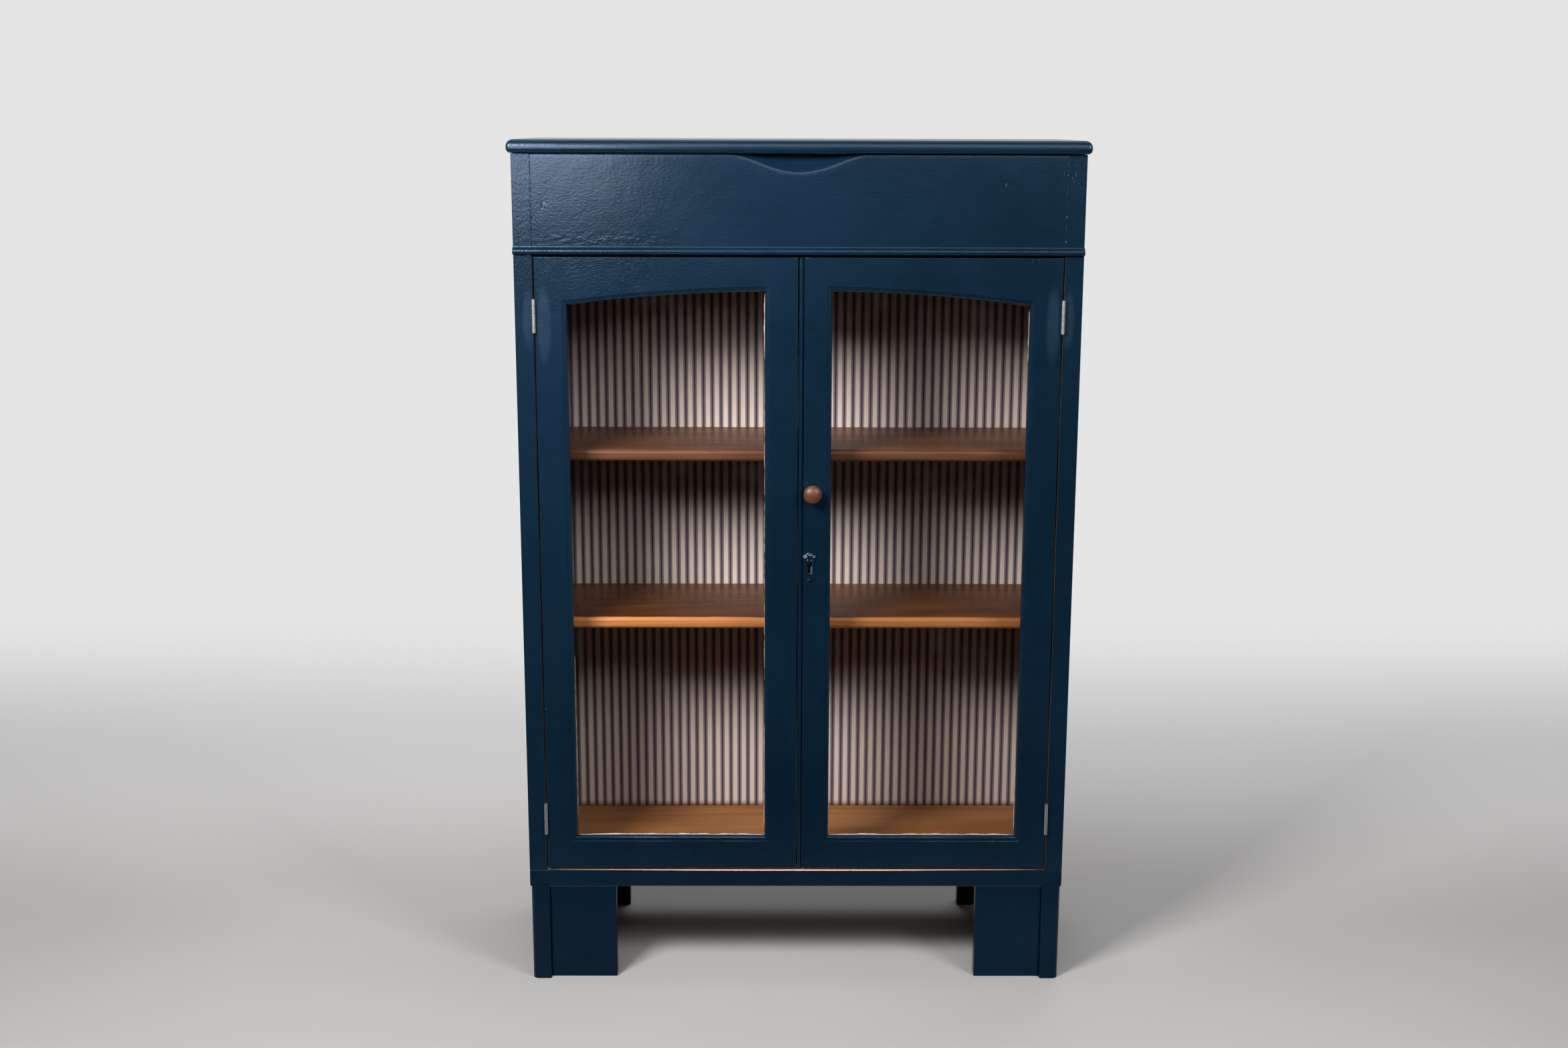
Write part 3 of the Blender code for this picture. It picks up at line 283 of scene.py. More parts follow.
STEEL = ((0.46, 0.455, 0.46), (0.27, 0.26, 0.26))
OLD_BRASS = ((0.46, 0.32, 0.13), (0.17, 0.115, 0.060))

# The shelves' tops and their worn front edges, each in two tones
SHELF_WOODS = {
    "upper": [((0.155, 0.055, 0.027), (0.082, 0.027, 0.013)), ((0.158, 0.061, 0.030), (0.098, 0.037, 0.018))],
    "lower": [((0.136, 0.0395, 0.0086), (0.071, 0.0196, 0.0041)),
              ((0.66, 0.25, 0.076), (0.47, 0.165, 0.046))],
}

CLOTH_NAVY = (0.050, 0.038, 0.054)
# Painted shade for the cloth's top, which is seen only through the gap over the doors
CLOTH_PAINTED_SHADE = (0.016, 0.012, 0.011)
KNOT = (0.02, 0.012, 0.008)
RUST = (0.12, 0.064, 0.040)
# Colour of the rubbed bosses, also of the keyhole's right wall, where it adds painted highlight
PLATE_RUBBED_AND_HIGHLIGHT = (0.27, 0.31, 0.38)
PANE_IOR = 1.3

PAINT_GLOSS = 0.62
FOOT_GLOSS = 0.12
PAINT_RELIEF = 0.00010
LOW_RELIEF = 0.00005
FINE_RELIEF = 0.00004

# Ticking: the stripes' repeat, where flank and heart of a stripe end, and where painted shade darkens the
# cloth at its top
STRIPE_REPEAT = 0.0133
STRIPE_FLANK = (0.0036, 0.0033)
STRIPE_HEART = (0.0013, 0.0009)
CLOTH_DARK_TOP = (1.010, 1.026)

# Places on the front, as across, up, half width and half height
SIDE_SCUFFS = [(0.374, 1.150, 0.012, 0.030), (-0.372, 1.09, 0.010, 0.03)]
BLISTERS = [(-0.343, 1.118, 0.014, 0.016), (-0.337, 1.134, 0.008, 0.016), (-0.349, 1.098, 0.015, 0.011)]
FRIEZE_RUNS = (-0.260, 1.0680, 0.120, 0.0110)
FRIEZE_SCUFFS = [(0.349, 1.157, 0.010, 0.022), (0.281, 1.142, 0.014, 0.012), (0.352, 1.077, 0.008, 0.008)]
LID_SCUFFS = [(0.384, 1.196, 0.006, 0.006), (-0.10, 1.199, 0.16, 0.003)]
DOOR_SCUFFS = {
    -1: [(-0.338, 1.030, 0.014, 0.014), (-0.29, 1.041, 0.05, 0.004)],
    1: [(0.33, 1.041, 0.03, 0.003), (0.049, 0.551, 0.005, 0.006)],
}
SHELF_KNOT = (-0.12, 0.7713, 0.020, 0.004)

# Rubbed places of the keyhole plate, from the keyhole's middle: across, up, radius and strength
PLATE_WEAR = [
    (-0.0056, 0.0122, 0.0030, 0.95), (0.0004, 0.0146, 0.0018, 0.70), (0.0034, 0.0142, 0.0014, 0.75),
    (0.0064, 0.0120, 0.0020, 0.55), (-0.0030, 0.0072, 0.0013, 0.70), (0.0032, 0.0070, 0.0011, 0.60),
    (-0.0004, -0.0204, 0.0016, 0.50),
]


def stretch(axis, along, across):
    """How noise is drawn out: one number along an axis, another across it."""
    return tuple(along if name == axis else across for name in "xyz")


def wood(s, along, tones, board_width=0.09):
    """Colour, roughness and height of planed wood whose grain runs along one axis."""
    grain = stretch(along, 1, 24)
    figure = s.noise(0.9 / board_width, stretch(along, 0.06, 1), distortion=0.7)
    rings = abs(s.math("FRACT", figure * 9.0) - 0.5) * 2.0
    pores = s.noise(34, grain, detail=4.0, roughness=0.65)
    tone = s.noise(5, grain)
    share = rings * 0.38 + pores * 0.50 + tone * 0.45
    colour = s.mix(s.step(share, 0.30, 1.0), *tones)
    return colour, 0.36 + pores * 0.22, pores * 0.7 + rings * 0.3


def coat(s, along):
    """Colour, roughness and height of satin paint brushed along one axis, with a fine orange peel."""
    strokes = s.noise(26, stretch(along, 1, 30))
    peel = s.noise(300, stretch(along, 0.7, 1.2), roughness=0.55)
    lumps = s.noise(45)
    patches = s.noise(4.5)
    share = s.step(patches * 0.75 + lumps * 0.25 + strokes * 0.10, 0.35, 0.75)
    colour = s.mix(share, PAINT_DEEP, PAINT_LIGHT)
    dust = s.specks(42, 0.0007, 0.10)
    colour = s.mix(dust * 0.5, colour, PAINT_SCUFF)
    roughness = 0.17 + strokes * 0.05 + patches * 0.08
    height = strokes * 0.45 + peel * 2.9 + lumps * 3.4 + dust * 0.6
    return colour, roughness, height


def layered(s, share, under, over):
    """Two coats, of which the second shows by share."""
    colour = s.mix(share, under[0], over[0])
    return colour, s.between(share, under[1], over[1]), s.between(share, under[2], over[2])


def scuffed(s, layers, places, strength):
    """Pale scratches and specks in a few oval places on the front."""
    colour, roughness, height = layers
    marks = s.noise(150, (2.4, 1, 1), detail=5.0, roughness=0.72)
    share = s.spots(places) * s.step(marks, 0.60, 0.72) * strength
    return s.mix(share, colour, PAINT_SCUFF), roughness, height + share * 0.8


def chalky(s, layers, places):
    """Paler, duller ovals where the paint was touched up."""
    colour, roughness, height = layers
    share = s.math("MINIMUM", s.spots(places), 1.0) * (0.18 + s.noise(38) * 0.28)
    return s.mix(share, colour, PAINT_CHALKY), roughness + share * 0.12, height


def painted(s, layers, shine=PAINT_GLOSS, relief=PAINT_RELIEF):
    return s.surface(*layers, relief, shine, Specular_Tint=PAINT_SHINE)


def plain_paint(name, along, shine=PAINT_GLOSS):
    s = Shader(name)
    return painted(s, coat(s, along), shine)


def side_paint():
    """A side: painted outside and on its front edge, bare brown wood inside."""
    s = Shader("side_paint")
    reach = abs(s.x)
    touched_up = [(side * 0.3665, HINGE_HEIGHTS[0] - 0.004, 0.010, 0.046) for side in SIDES]
    over = chalky(s, coat(s, "z"), touched_up)
    over = scuffed(s, over, SIDE_SCUFFS, 0.5)
    deeper = s.step(s.y, FRONT + 0.008, FRONT + 0.022)
    under = layered(s, deeper, wood(s, "z", DULL_PINE), wood(s, "z", INSIDE_WOOD))
    ragged = s.noise(120, detail=3.0) * 0.0012
    inside = s.step(reach + ragged, INNER + 0.0014, INNER + 0.0009)
    back = s.step(s.y + ragged, FRONT + 0.0011, FRONT + 0.0015)
    behind = s.step(s.y + ragged, FRONT + BODY_DEPTH - 0.0004, FRONT + BODY_DEPTH + 0.0002)
    bare = s.math("MAXIMUM", inside * back, behind)
    return painted(s, layered(s, bare, over, under))


def frieze_paint():
    """The frieze: blisters, runs and a ridge in the paint near its left end, bare wood behind."""
    s = Shader("frieze_paint")
    colour, roughness, height = coat(s, "x")
    blisters = s.spots(BLISTERS) * s.step(s.noise(120), 0.42, 0.60)
    wrinkles = abs(s.noise(210, distortion=0.6) - 0.5) - 0.09
    runs = s.spot(*FRIEZE_RUNS) * (s.noise(170, (0.6, 1, 1)) - 0.5)
    along = s.x + 0.335
    sweep = s.z - along * 0.24 - along * along * 6.6 - 1.068
    ridge = s.step(abs(sweep), 0.0013, 0.0) * s.step(s.x, -0.245, -0.285)
    over = (colour, roughness, height + wrinkles * blisters * 17.0 + runs * 9.5 + ridge * 0.30)
    over = scuffed(s, over, FRIEZE_SCUFFS, 0.40)
    under = wood(s, "x", INSIDE_WOOD)
    bare = s.step(s.y, FRONT + 0.0172, FRONT + 0.0176)
    return painted(s, layered(s, bare, over, under), relief=0.000064)


def lid_paint():
    """The lid: painted, with bare wood below inside its painted rim."""
    s = Shader("lid_paint")
    over = scuffed(s, coat(s, "x"), LID_SCUFFS, 0.4)
    under = wood(s, "x", INSIDE_WOOD)
    below = s.step(s.z, LID_LOW + 0.0007, LID_LOW + 0.0004)
    within = s.step(s.y, FRONT + 0.008, FRONT + 0.010) * s.step(abs(s.x), 0.374, 0.372)
    return painted(s, layered(s, below * within, over, under), relief=LOW_RELIEF)


def bottom_paint():
    """The bottom board: painted front and ends, bare top with a ragged line of paint along its front; the
    bare strip under the doors carries painted light.
    """
    s = Shader("bottom_paint")
    over = coat(s, "x")
    inside = wood(s, "x", OLD_PINE, 0.14)
    # Painted light: the front 12 mm of the bare top is pale, also where the doors shade it
    strip_painted_light = wood(s, "x", STRIP_PINE_PAINTED_LIGHT, 0.14)
    reach = abs(s.x) / 0.355
    ragged = s.noise(170, detail=3.0) * 0.0008
    line = reach * reach * reach * reach * 0.0036 - 0.0004 + ragged
    depth = s.y - FRONT
    top = s.step(s.z, BOTTOM_TOP - 0.00075, BOTTOM_TOP - 0.00045)
    within = s.step(abs(s.x), INNER + 0.0012, INNER + 0.0006)
    bare = top * within * s.step(depth - line, -0.0002, 0.0003)
    below = s.step(s.z, 0.1410, 0.1407)
    under = layered(s, s.step(depth, 0.012, 0.022), strip_painted_light, inside)
    behind = s.step(depth, BODY_DEPTH - 0.0006, BODY_DEPTH - 0.0003)
    bare = s.math("MAXIMUM", bare, s.math("MAXIMUM", below, behind))
    return painted(s, layered(s, bare, over, under), shine=0.25)


def door_paint(side):
    """A door's frame: strokes follow stiles and rails, the inner face is bare brown wood."""
    s = Shader(f"door_{SIDES[side]}_paint")
    across = s.x * side
    past_stile = s.step(across, SIGHT_INNER - 0.0015, SIGHT_INNER)
    rails = past_stile * s.step(across, SIGHT_OUTER + 0.0015, SIGHT_OUTER)
    over = layered(s, rails, coat(s, "z"), coat(s, "x"))
    over = chalky(s, over, [(side * 0.346, HINGE_HEIGHTS[0] - 0.012, 0.0115, 0.062)])
    over = scuffed(s, over, DOOR_SCUFFS[side], 0.6)
    under = layered(s, rails, wood(s, "z", INSIDE_WOOD, 0.045), wood(s, "x", INSIDE_WOOD, 0.045))
    depth = s.y - FRONT + s.noise(140, detail=3.0) * 0.0012
    bare = s.step(depth, DOOR_THICKNESS - 0.0008, DOOR_THICKNESS - 0.0003)
    return painted(s, layered(s, bare, over, under))


def board_wood(name, along, tones, board_width=0.09, shine=0.45):
    s = Shader(name)
    return s.surface(*wood(s, along, tones, board_width), LOW_RELIEF, shine)


def shelf_wood(name, tones, edge_tones):
    """Waxed shelf: dark on top, its worn front edge in another tone, with painted shade on the edge's right
    half.
    """
    s = Shader(name)
    top = wood(s, "x", tones, 0.12)
    edge = wood(s, "x", edge_tones, 0.05)
    # Painted shade: from the middle rightwards the front edge is mixed about halfway to the top's dark tone
    edge = (s.mix(s.step(s.x, -0.02, 0.12) * 0.48, edge[0], tones[1]), *edge[1:])
    ragged = s.noise(60, (0.3, 1, 1)) * 0.004
    share = s.step(s.y - ragged, SHELF_FRONT + 0.0040, SHELF_FRONT + 0.0010)
    knot = s.spot(*SHELF_KNOT)
    colour, roughness, height = layered(s, share, top, edge)
    colour = s.mix(knot * s.step(s.noise(90, (0.4, 1, 1)), 0.52, 0.62) * 0.6, colour, KNOT)
    return s.surface(colour, roughness - 0.08, height, FINE_RELIEF, shine=0.36)


def knob_wood():
    s = Shader("knob_wood")
    rings = s.noise(120, (1, 0.15, 1), detail=3.0, roughness=0.6)
    flecks = s.noise(700, (0.5, 1, 1.6))
    colour = s.mix(s.step(rings * 0.7 + flecks * 0.4, 0.36, 0.75), *KNOB_WOOD)
    return s.surface(colour, 0.36 + flecks * 0.12, flecks, FINE_RELIEF)


def ticking():
    """Cotton ticking: cream ground, navy stripes with half-tone flanks, a fine twill over both, and painted
    shade at its top.
    """
    s = Shader("striped_ticking")
    wobble = (s.noise(7, (1, 1, 0.5)) - 0.5) * 0.0007
    place = abs(s.math("FRACT", (s.x + wobble) / STRIPE_REPEAT) - 0.5) * STRIPE_REPEAT
    threads = s.math("SINE", s.x * 9800.0) * 0.5 + 0.5
    slubs = s.noise(60, (14, 1, 1), detail=3.0)
    ground = s.mix(slubs, *CLOTH_CREAM)
    half_tone = s.mix(threads * 0.5 + slubs * 0.3, *CLOTH_HALF_TONE)
    colour = s.mix(s.step(place, *STRIPE_FLANK), ground, half_tone)
    colour = s.mix(s.step(place, *STRIPE_HEART), colour, CLOTH_NAVY)
    # Painted shade: the cloth's top is darkened nearly to black, as it is seen only through the gap over the
    # doors
    colour = s.mix(s.step(s.z, *CLOTH_DARK_TOP) * 0.92, colour, CLOTH_PAINTED_SHADE)
    twill = s.math("SINE", (s.x * 0.8 + s.z) * 8200.0)
    weft = s.math("SINE", s.z * 9400.0)
    height = twill * 0.3 + weft * 0.2 + slubs * 0.5
    return s.surface(colour, 0.94, height, 0.00008, shine=0.15, Sheen_Weight=0.25, Sheen_Roughness=0.5)


def glass():
    """Clear pane: it shows what is behind it, mirrors the lights a little and has a faint film."""
    s = Shader("clear_glass")
    smears = s.step(s.noise(9, detail=4.0, roughness=0.7), 0.50, 0.80) * 0.006
    clear = s.add("ShaderNodeBsdfTransparent", {"Color": (0.985, 0.992, 0.988)})
    shine = s.add("ShaderNodeBsdfGlossy", {"Color": (0.9, 0.95, 0.95), "Roughness": 0.04})
    dust = s.add("ShaderNodeBsdfDiffuse", {"Color": (0.75, 0.74, 0.70)})
    backs = Wire(s, s.add("ShaderNodeNewGeometry").outputs["Backfacing"])
    # Light goes straight through, so both faces mirror as if it came from the air
    fresnel = s.add("ShaderNodeFresnel", {"IOR": PANE_IOR - backs * (PANE_IOR - 1 / PANE_IOR)})
    s.finish(s.blend(smears, s.blend(fresnel, clear, shine), dust))
    return s.material


def putty():
    s = Shader("glazing_putty")
    lumps = s.noise(210, detail=4.0, roughness=0.65)
    grime = s.noise(30, detail=3.0)
    colour = s.mix(s.step(lumps * 0.6 + grime * 0.5, 0.45, 0.72), *PUTTY)
    return s.surface(colour, 0.7 + lumps * 0.2, lumps, 0.0004, shine=0.3)


def steel():
    """Old steel: scratched, dulled and touched by rust."""
    s = Shader("worn_steel")
    scratches = s.noise(300, (9, 9, 1), detail=3.0, roughness=0.7)
    bloom = s.noise(160, detail=4.0, roughness=0.65)
    colour = s.mix(bloom, *STEEL)
    rust = s.step(bloom, 0.56, 0.70)
    colour = s.mix(rust * 0.6, colour, RUST)
    roughness = 0.36 + scratches * 0.22 + rust * 0.2
    return s.surface(colour, roughness, scratches, FINE_RELIEF, Metallic=0.82)


def brass():
    """Tarnished brass."""
    s = Shader("old_brass")
    scratches = s.noise(260, (1, 9, 9), detail=3.0, roughness=0.7)
    bloom = s.noise(90, detail=4.0, roughness=0.6)
    colour = s.mix(s.step(bloom, 0.35, 0.68), *OLD_BRASS)
    return s.surface(colour, 0.28 + bloom * 0.30, scratches, 0.00003, Metallic=1.0)


def painted_plate():
    """Cast keyhole plate under thick paint, rubbed through on its bosses, and in the keyhole a pale right
    wall of worn metal and painted highlight.
    """
    s = Shader("painted_plate")
    colour, roughness, height = coat(s, "z")
    rubbed = s.step(s.noise(620, detail=3.0), 0.36, 0.58)
    worn = []
    for x, z, radius, force in PLATE_WEAR:
        worn.append(s.spot(KEYHOLE_X + x, KEYHOLE_Z + z, radius * 1.15, radius) * force)
    share = sum(worn[1:], worn[0]) * rubbed
    # Painted highlight and worn metal: the keyhole's right wall, which faces the light from the left, is
    # paler
    across = s.x - KEYHOLE_X
    wall_wear_and_highlight = s.step(abs(across), 0.0044, 0.0036) * s.step(across, 0.0006, 0.0014)
    wall_wear_and_highlight = wall_wear_and_highlight * s.step(s.z, KEYHOLE_Z + 0.0012, KEYHOLE_Z - 0.0008)
    wall_wear_and_highlight = wall_wear_and_highlight * s.step(s.z, KEYHOLE_Z - 0.0130, KEYHOLE_Z - 0.0118)
    share = s.math("MINIMUM", share + wall_wear_and_highlight * 0.25, 0.9)
    colour = s.mix(share, colour, PLATE_RUBBED_AND_HIGHLIGHT)
    return painted(s, (colour, roughness - share * 0.08, height))


# Shapes

def mesh_object(name, shape, material, sharp=SHARP_ANGLE):
    """Turns a bmesh into a smooth-shaded object."""
    bmesh.ops.recalc_face_normals(shape, faces=shape.faces)
    mesh = bpy.data.meshes.new(name)
    shape.to_mesh(mesh)
    shape.free()
    mesh.shade_smooth()
    mesh.set_sharp_from_angle(angle=math.radians(sharp))
    mesh.materials.append(material)
    obj = bpy.data.objects.new(name, mesh)
    bpy.context.scene.collection.objects.link(obj)
    return obj


def even_normals(obj):
    """Keeps broad faces flat beside their rounded edges."""
    modifier = obj.modifiers.new("even_normals", "WEIGHTED_NORMAL")
    modifier.keep_sharp = True
    modifier.weight = 100


def piece(name, shape, material, body, slot, *nodes, sharp=SHARP_ANGLE):
    obj = mesh_object(name, shape, material, sharp)
    even_normals(obj)
    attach(obj, body)
    if nodes:
        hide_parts(*nodes)
    return obj


def from_solid(node, name, material, body="carcass", slot="blue_paint"):
    """A smooth-shaded stand-in with a solid's own shape."""
    shape = bmesh.new()
    shape.from_mesh(frame["nodes"][node].data)
    bmesh.ops.remove_doubles(shape, verts=shape.verts, dist=0.000002)
    bmesh.ops.dissolve_limit(shape, angle_limit=0.002, verts=shape.verts, edges=shape.edges)
    obj = piece(name, shape, material, body, slot, node)
    stale = obj.data.attributes.get("custom_normal")
    if stale:
        obj.data.attributes.remove(stale)


def dress(node, material):
    frame["nodes"][node].material_slots[0].material = material


def skin(shape, rings, closed=True):
    """Quads through rings of as many points each, back to the first ring or capped at both ends."""
    rows = [[shape.verts.new(point) for point in ring] for ring in rings]
    pairs = list(zip(rows, rows[1:]))
    if closed:
        pairs.append((rows[-1], rows[0]))
    for row, following in pairs:
        for i, vertex in enumerate(row):
            j = (i + 1) % len(row)
            shape.faces.new((vertex, row[j], following[j], following[i]))
    if not closed:
        shape.faces.new(rows[0])
        shape.faces.new(rows[-1])


def block(shape, low, high):
    made = bmesh.ops.create_cube(shape, size=1.0)["verts"]
    middle = (Vector(low) + Vector(high)) / 2
    span = Vector(high) - Vector(low)
    for vertex in made:
        vertex.co = middle + Vector(c * s for c, s in zip(vertex.co, span))


def prism(shape, outline, axis, start, end):
    """An outline square to an axis, run from start to end along it."""
    order = {"y": lambda u, v, w: (u, w, v), "z": lambda u, v, w: (u, v, w)}[axis]
    skin(shape, [[order(u, v, at) for u, v in outline] for at in (start, end)], closed=False)


def arc(centre, radius, start, end, steps):
    angles = [math.radians(start + (end - start) * i / steps) for i in range(steps + 1)]
    return [(centre[0] + radius * math.cos(a), centre[1] + radius * math.sin(a)) for a in angles]


def cut(obj, fill):
    """Takes away a shape that fill draws."""
    shape = bmesh.new()
    fill(shape)
    tool = mesh_object("tool", shape, obj.data.materials[0])
    modifier = obj.modifiers.new("cut", "BOOLEAN")
    modifier.object = tool
    modifier.solver = "EXACT"
    view = bpy.context.evaluated_depsgraph_get()
    made = bpy.data.meshes.new_from_object(obj.evaluated_get(view))
    obj.modifiers.clear()
    obj.data = made
    bpy.data.objects.remove(tool)
    made.shade_smooth()
    made.set_sharp_from_angle(angle=math.radians(SHARP_ANGLE))
    even_normals(obj)


def wander(place, size, seed):
    """A smooth random number between -1 and 1."""
    return noise.noise(Vector((place / size, seed * 7.31, 0.5)))


def ribbon(shape, line, across):
    """A low domed line of paint or putty on a front face, by points with a width and a height each."""
    across = Vector(across)
    outward = Vector((0, -1, 0))
    half = [(-0.5, -0.15), (-0.42, 0.45), (-0.18, 0.9)]
    section = half + [(0.0, 1.0)] + [(-u, v) for u, v in reversed(half)]
    rings = []
    for point, width, height in line:
        rings.append([Vector(point) + across * (u * width) + outward * (v * height) for u, v in section])
    skin(shape, rings, closed=False)


# Doors

def arch_height(across, offset):
    """Height of the arch over both doors, widened by offset."""
    return ARCH_APEX - ARCH_RADIUS + math.sqrt((ARCH_RADIUS + offset) ** 2 - across ** 2)


def opening_ring(side, offset, depth, steps=(1, 1, 40)):
    """The opening's outline at a depth, widened by offset from the sight edge."""
    near = SIGHT_INNER - offset
    far = SIGHT_OUTER + offset
    low = SIGHT_LOW - offset
    along, up, over = steps
    ring = [(near + (far - near) * i / along, low) for i in range(along)]
    ring += [(far, low + (arch_height(far, offset) - low) * i / up) for i in range(up)]
    for i in range(over):
        across = far + (near - far) * i / over
        ring.append((across, arch_height(across, offset)))
    top = arch_height(near, offset)
    ring += [(near, top + (low - top) * i / up) for i in range(up)]
    return [(side * across, FRONT + depth, height) for across, height in ring]


def rim_ring(side, inner, inset, depth, over=40):
    """The door's outer rectangle at a depth, drawn in by inset."""
    near = inner + inset
    far = DOOR_OUTER - inset
    ring = [(near, DOOR_LOW + inset), (far, DOOR_LOW + inset)]
    ring += [(far + (near - far) * i / over, DOOR_TOP - inset) for i in range(over + 1)]
    return [(side * across, FRONT + depth, height) for across, height in ring]


def door_profile(side, inner):
    """Rings round a whole door frame: outer edge, face, ovolo, lip, rebate and back."""
    turn = [math.radians(22.5 * i) for i in range(5)]
    rounds = [(1 - math.sin(a), 1 - math.cos(a)) for a in turn]
    back = min(inner, DOOR_INNER_BACK) if side < 0 else inner
    rings = [rim_ring(side, back, EDGE_EASE * u, DOOR_THICKNESS - EDGE_EASE * v) for u, v in rounds]
    rings += [rim_ring(side, inner, EDGE_EASE * v, EDGE_EASE * u) for u, v in rounds]
    rings += [opening_ring(side, STICKING_WIDTH + FACE_EASE * u, FACE_EASE * v) for u, v in rounds]
    for i in range(13):
        a = math.pi / 2 * i / 12
        depth = STICKING_DEPTH - (STICKING_DEPTH - STICKING_STEP) * math.cos(a)
        rings.append(opening_ring(side, STICKING_WIDTH * (1 - math.sin(a)) * 0.985, depth))
    rings.append(opening_ring(side, 0.0, LIP_BACK))
    rings.append(opening_ring(side, REBATE_WIDTH, LIP_BACK))
    rings.append(opening_ring(side, REBATE_WIDTH, DOOR_THICKNESS))
    return rings


def keyhole_outline(steps=24):
    """A round hole with a slot below it."""
    half = KEYHOLE_SLOT_HALF
    foot = KEYHOLE_Z - KEYHOLE_DROP
    lean = math.degrees(math.asin(half / KEYHOLE_RADIUS))
    outline = arc((KEYHOLE_X, KEYHOLE_Z), KEYHOLE_RADIUS, -90 + lean, 270 - lean, steps)
    return outline + [(KEYHOLE_X - half, foot), (KEYHOLE_X + half, foot)]


def hinge_seats(side, shape):
    """Shallow seats for the leaves in a door's edge."""
    for height in HINGE_HEIGHTS:
        near = side * (HINGE_X - LEAF_FACE - LEAF_THICKNESS - SEAT_GAP)
        low = (min(near, side * HINGE_X), FRONT - 0.002, height - HINGE_HALF - SEAT_GAP)
        high = (max(near, side * HINGE_X), FRONT + LEAF_WIDTH + SEAT_GAP, height + HINGE_HALF + SEAT_GAP)
        block(shape, low, high)


def door_frame(side):
    tag = SIDES[side]
    body = f"{tag}_door"
    material = door_paint(side)
    members = ("hinge_stile", "meeting_stile", "top_rail", "bottom_rail")
    shape = bmesh.new()
    skin(shape, door_profile(side, DOOR_INNER if side < 0 else BEAD_END))
    nodes = [f"door_{tag}_{member}" for member in members]
    obj = piece(f"door_{tag}_frame", shape, material, body, "blue_paint", *nodes)

    def openings(shape):
        hinge_seats(side, shape)
        if side > 0:
            prism(shape, keyhole_outline(), "y", FRONT - 0.001, FRONT + DOOR_THICKNESS + 0.001)

    cut(obj, openings)
    if side > 0:
        edge_bead(body)


def edge_bead(body):
    """The quirked bead along the right door's meeting edge."""
    low = FRONT + EDGE_BEAD_RADIUS
    centre = (DOOR_INNER + EDGE_BEAD_RADIUS, low)
    outline = [(BEAD_END, FRONT + DOOR_THICKNESS), (DOOR_INNER_BACK, FRONT + DOOR_THICKNESS)]
    outline += arc(centre, EDGE_BEAD_RADIUS, 180, 360, 20)
    outline += [(DOOR_INNER + 2 * EDGE_BEAD_RADIUS, FRONT + QUIRK_DEPTH), (BEAD_END, FRONT + QUIRK_DEPTH)]
    shape = bmesh.new()
    prism(shape, outline, "z", DOOR_LOW, DOOR_TOP)
    piece("door_right_edge_bead", shape, plain_paint("bead_paint", "z"), body, "blue_paint")


# The putty's section: how far past the sight edge and how deep; its inner corner and its slope are lumpy
PUTTY_SECTION = [(0.0008, 0.0131), (0.0067, 0.0131), (0.0067, 0.0192), (0.0044, 0.0182), (0.0026, 0.0160)]
PUTTY_LUMP = 0.00030


def glazing(side, putty_finish, glass_finish):
    """Knifed putty behind the pane, and the pale residue that shows along its front."""
    tag = SIDES[side]
    body = f"{tag}_door"
    dress(f"door_{tag}_glass", glass_finish)
    steps = (60, 150, 60)
    rings = []
    for k, (offset, depth) in enumerate(PUTTY_SECTION):
        ring = []
        for i, (x, y, z) in enumerate(opening_ring(side, offset, depth, steps)):
            lump = PUTTY_LUMP * wander(i, 3.0, k + 10 * side)
            ring.append((x, y + lump * (k > 2), z + lump * (k == 0)))
        rings.append(ring)
    shape = bmesh.new()
    skin(shape, rings)
    piece(f"door_{tag}_putty_line", shape, putty_finish, body, "glazing_putty", f"door_{tag}_putty")

    shape = bmesh.new()
    depth = FRONT + GLASS_FRONT - 0.00005
    for start, end, inward, thin, thick, seed in RESIDUE[side]:
        start = Vector((side * start[0], depth, start[1]))
        end = Vector((side * end[0], depth, end[1]))
        count = max(8, int((end - start).length / 0.0022))
        across = Vector((side * inward[0], 0, inward[1]))
        line = []
        for i in range(count + 1):
            t = i / count
            fade = min(1.0, 8 * t, 8 * (1 - t)) * 0.8 + 0.2
            patch = 0.5 + 0.9 * wander(i, 4.5, seed) + 0.35 * wander(i, 1.6, seed + 3)
            width = (thin + (thick - thin) * max(0.0, min(1.0, patch))) * fade
            point = start.lerp(end, t) + across * (width * 0.5 - 0.0003)
            line.append((point, width, 0.0003 + 0.0003 * max(0.0, patch) * fade))
        ribbon(shape, line, across)
    piece(f"door_{tag}_residue", shape, putty_finish, body, "glazing_putty")


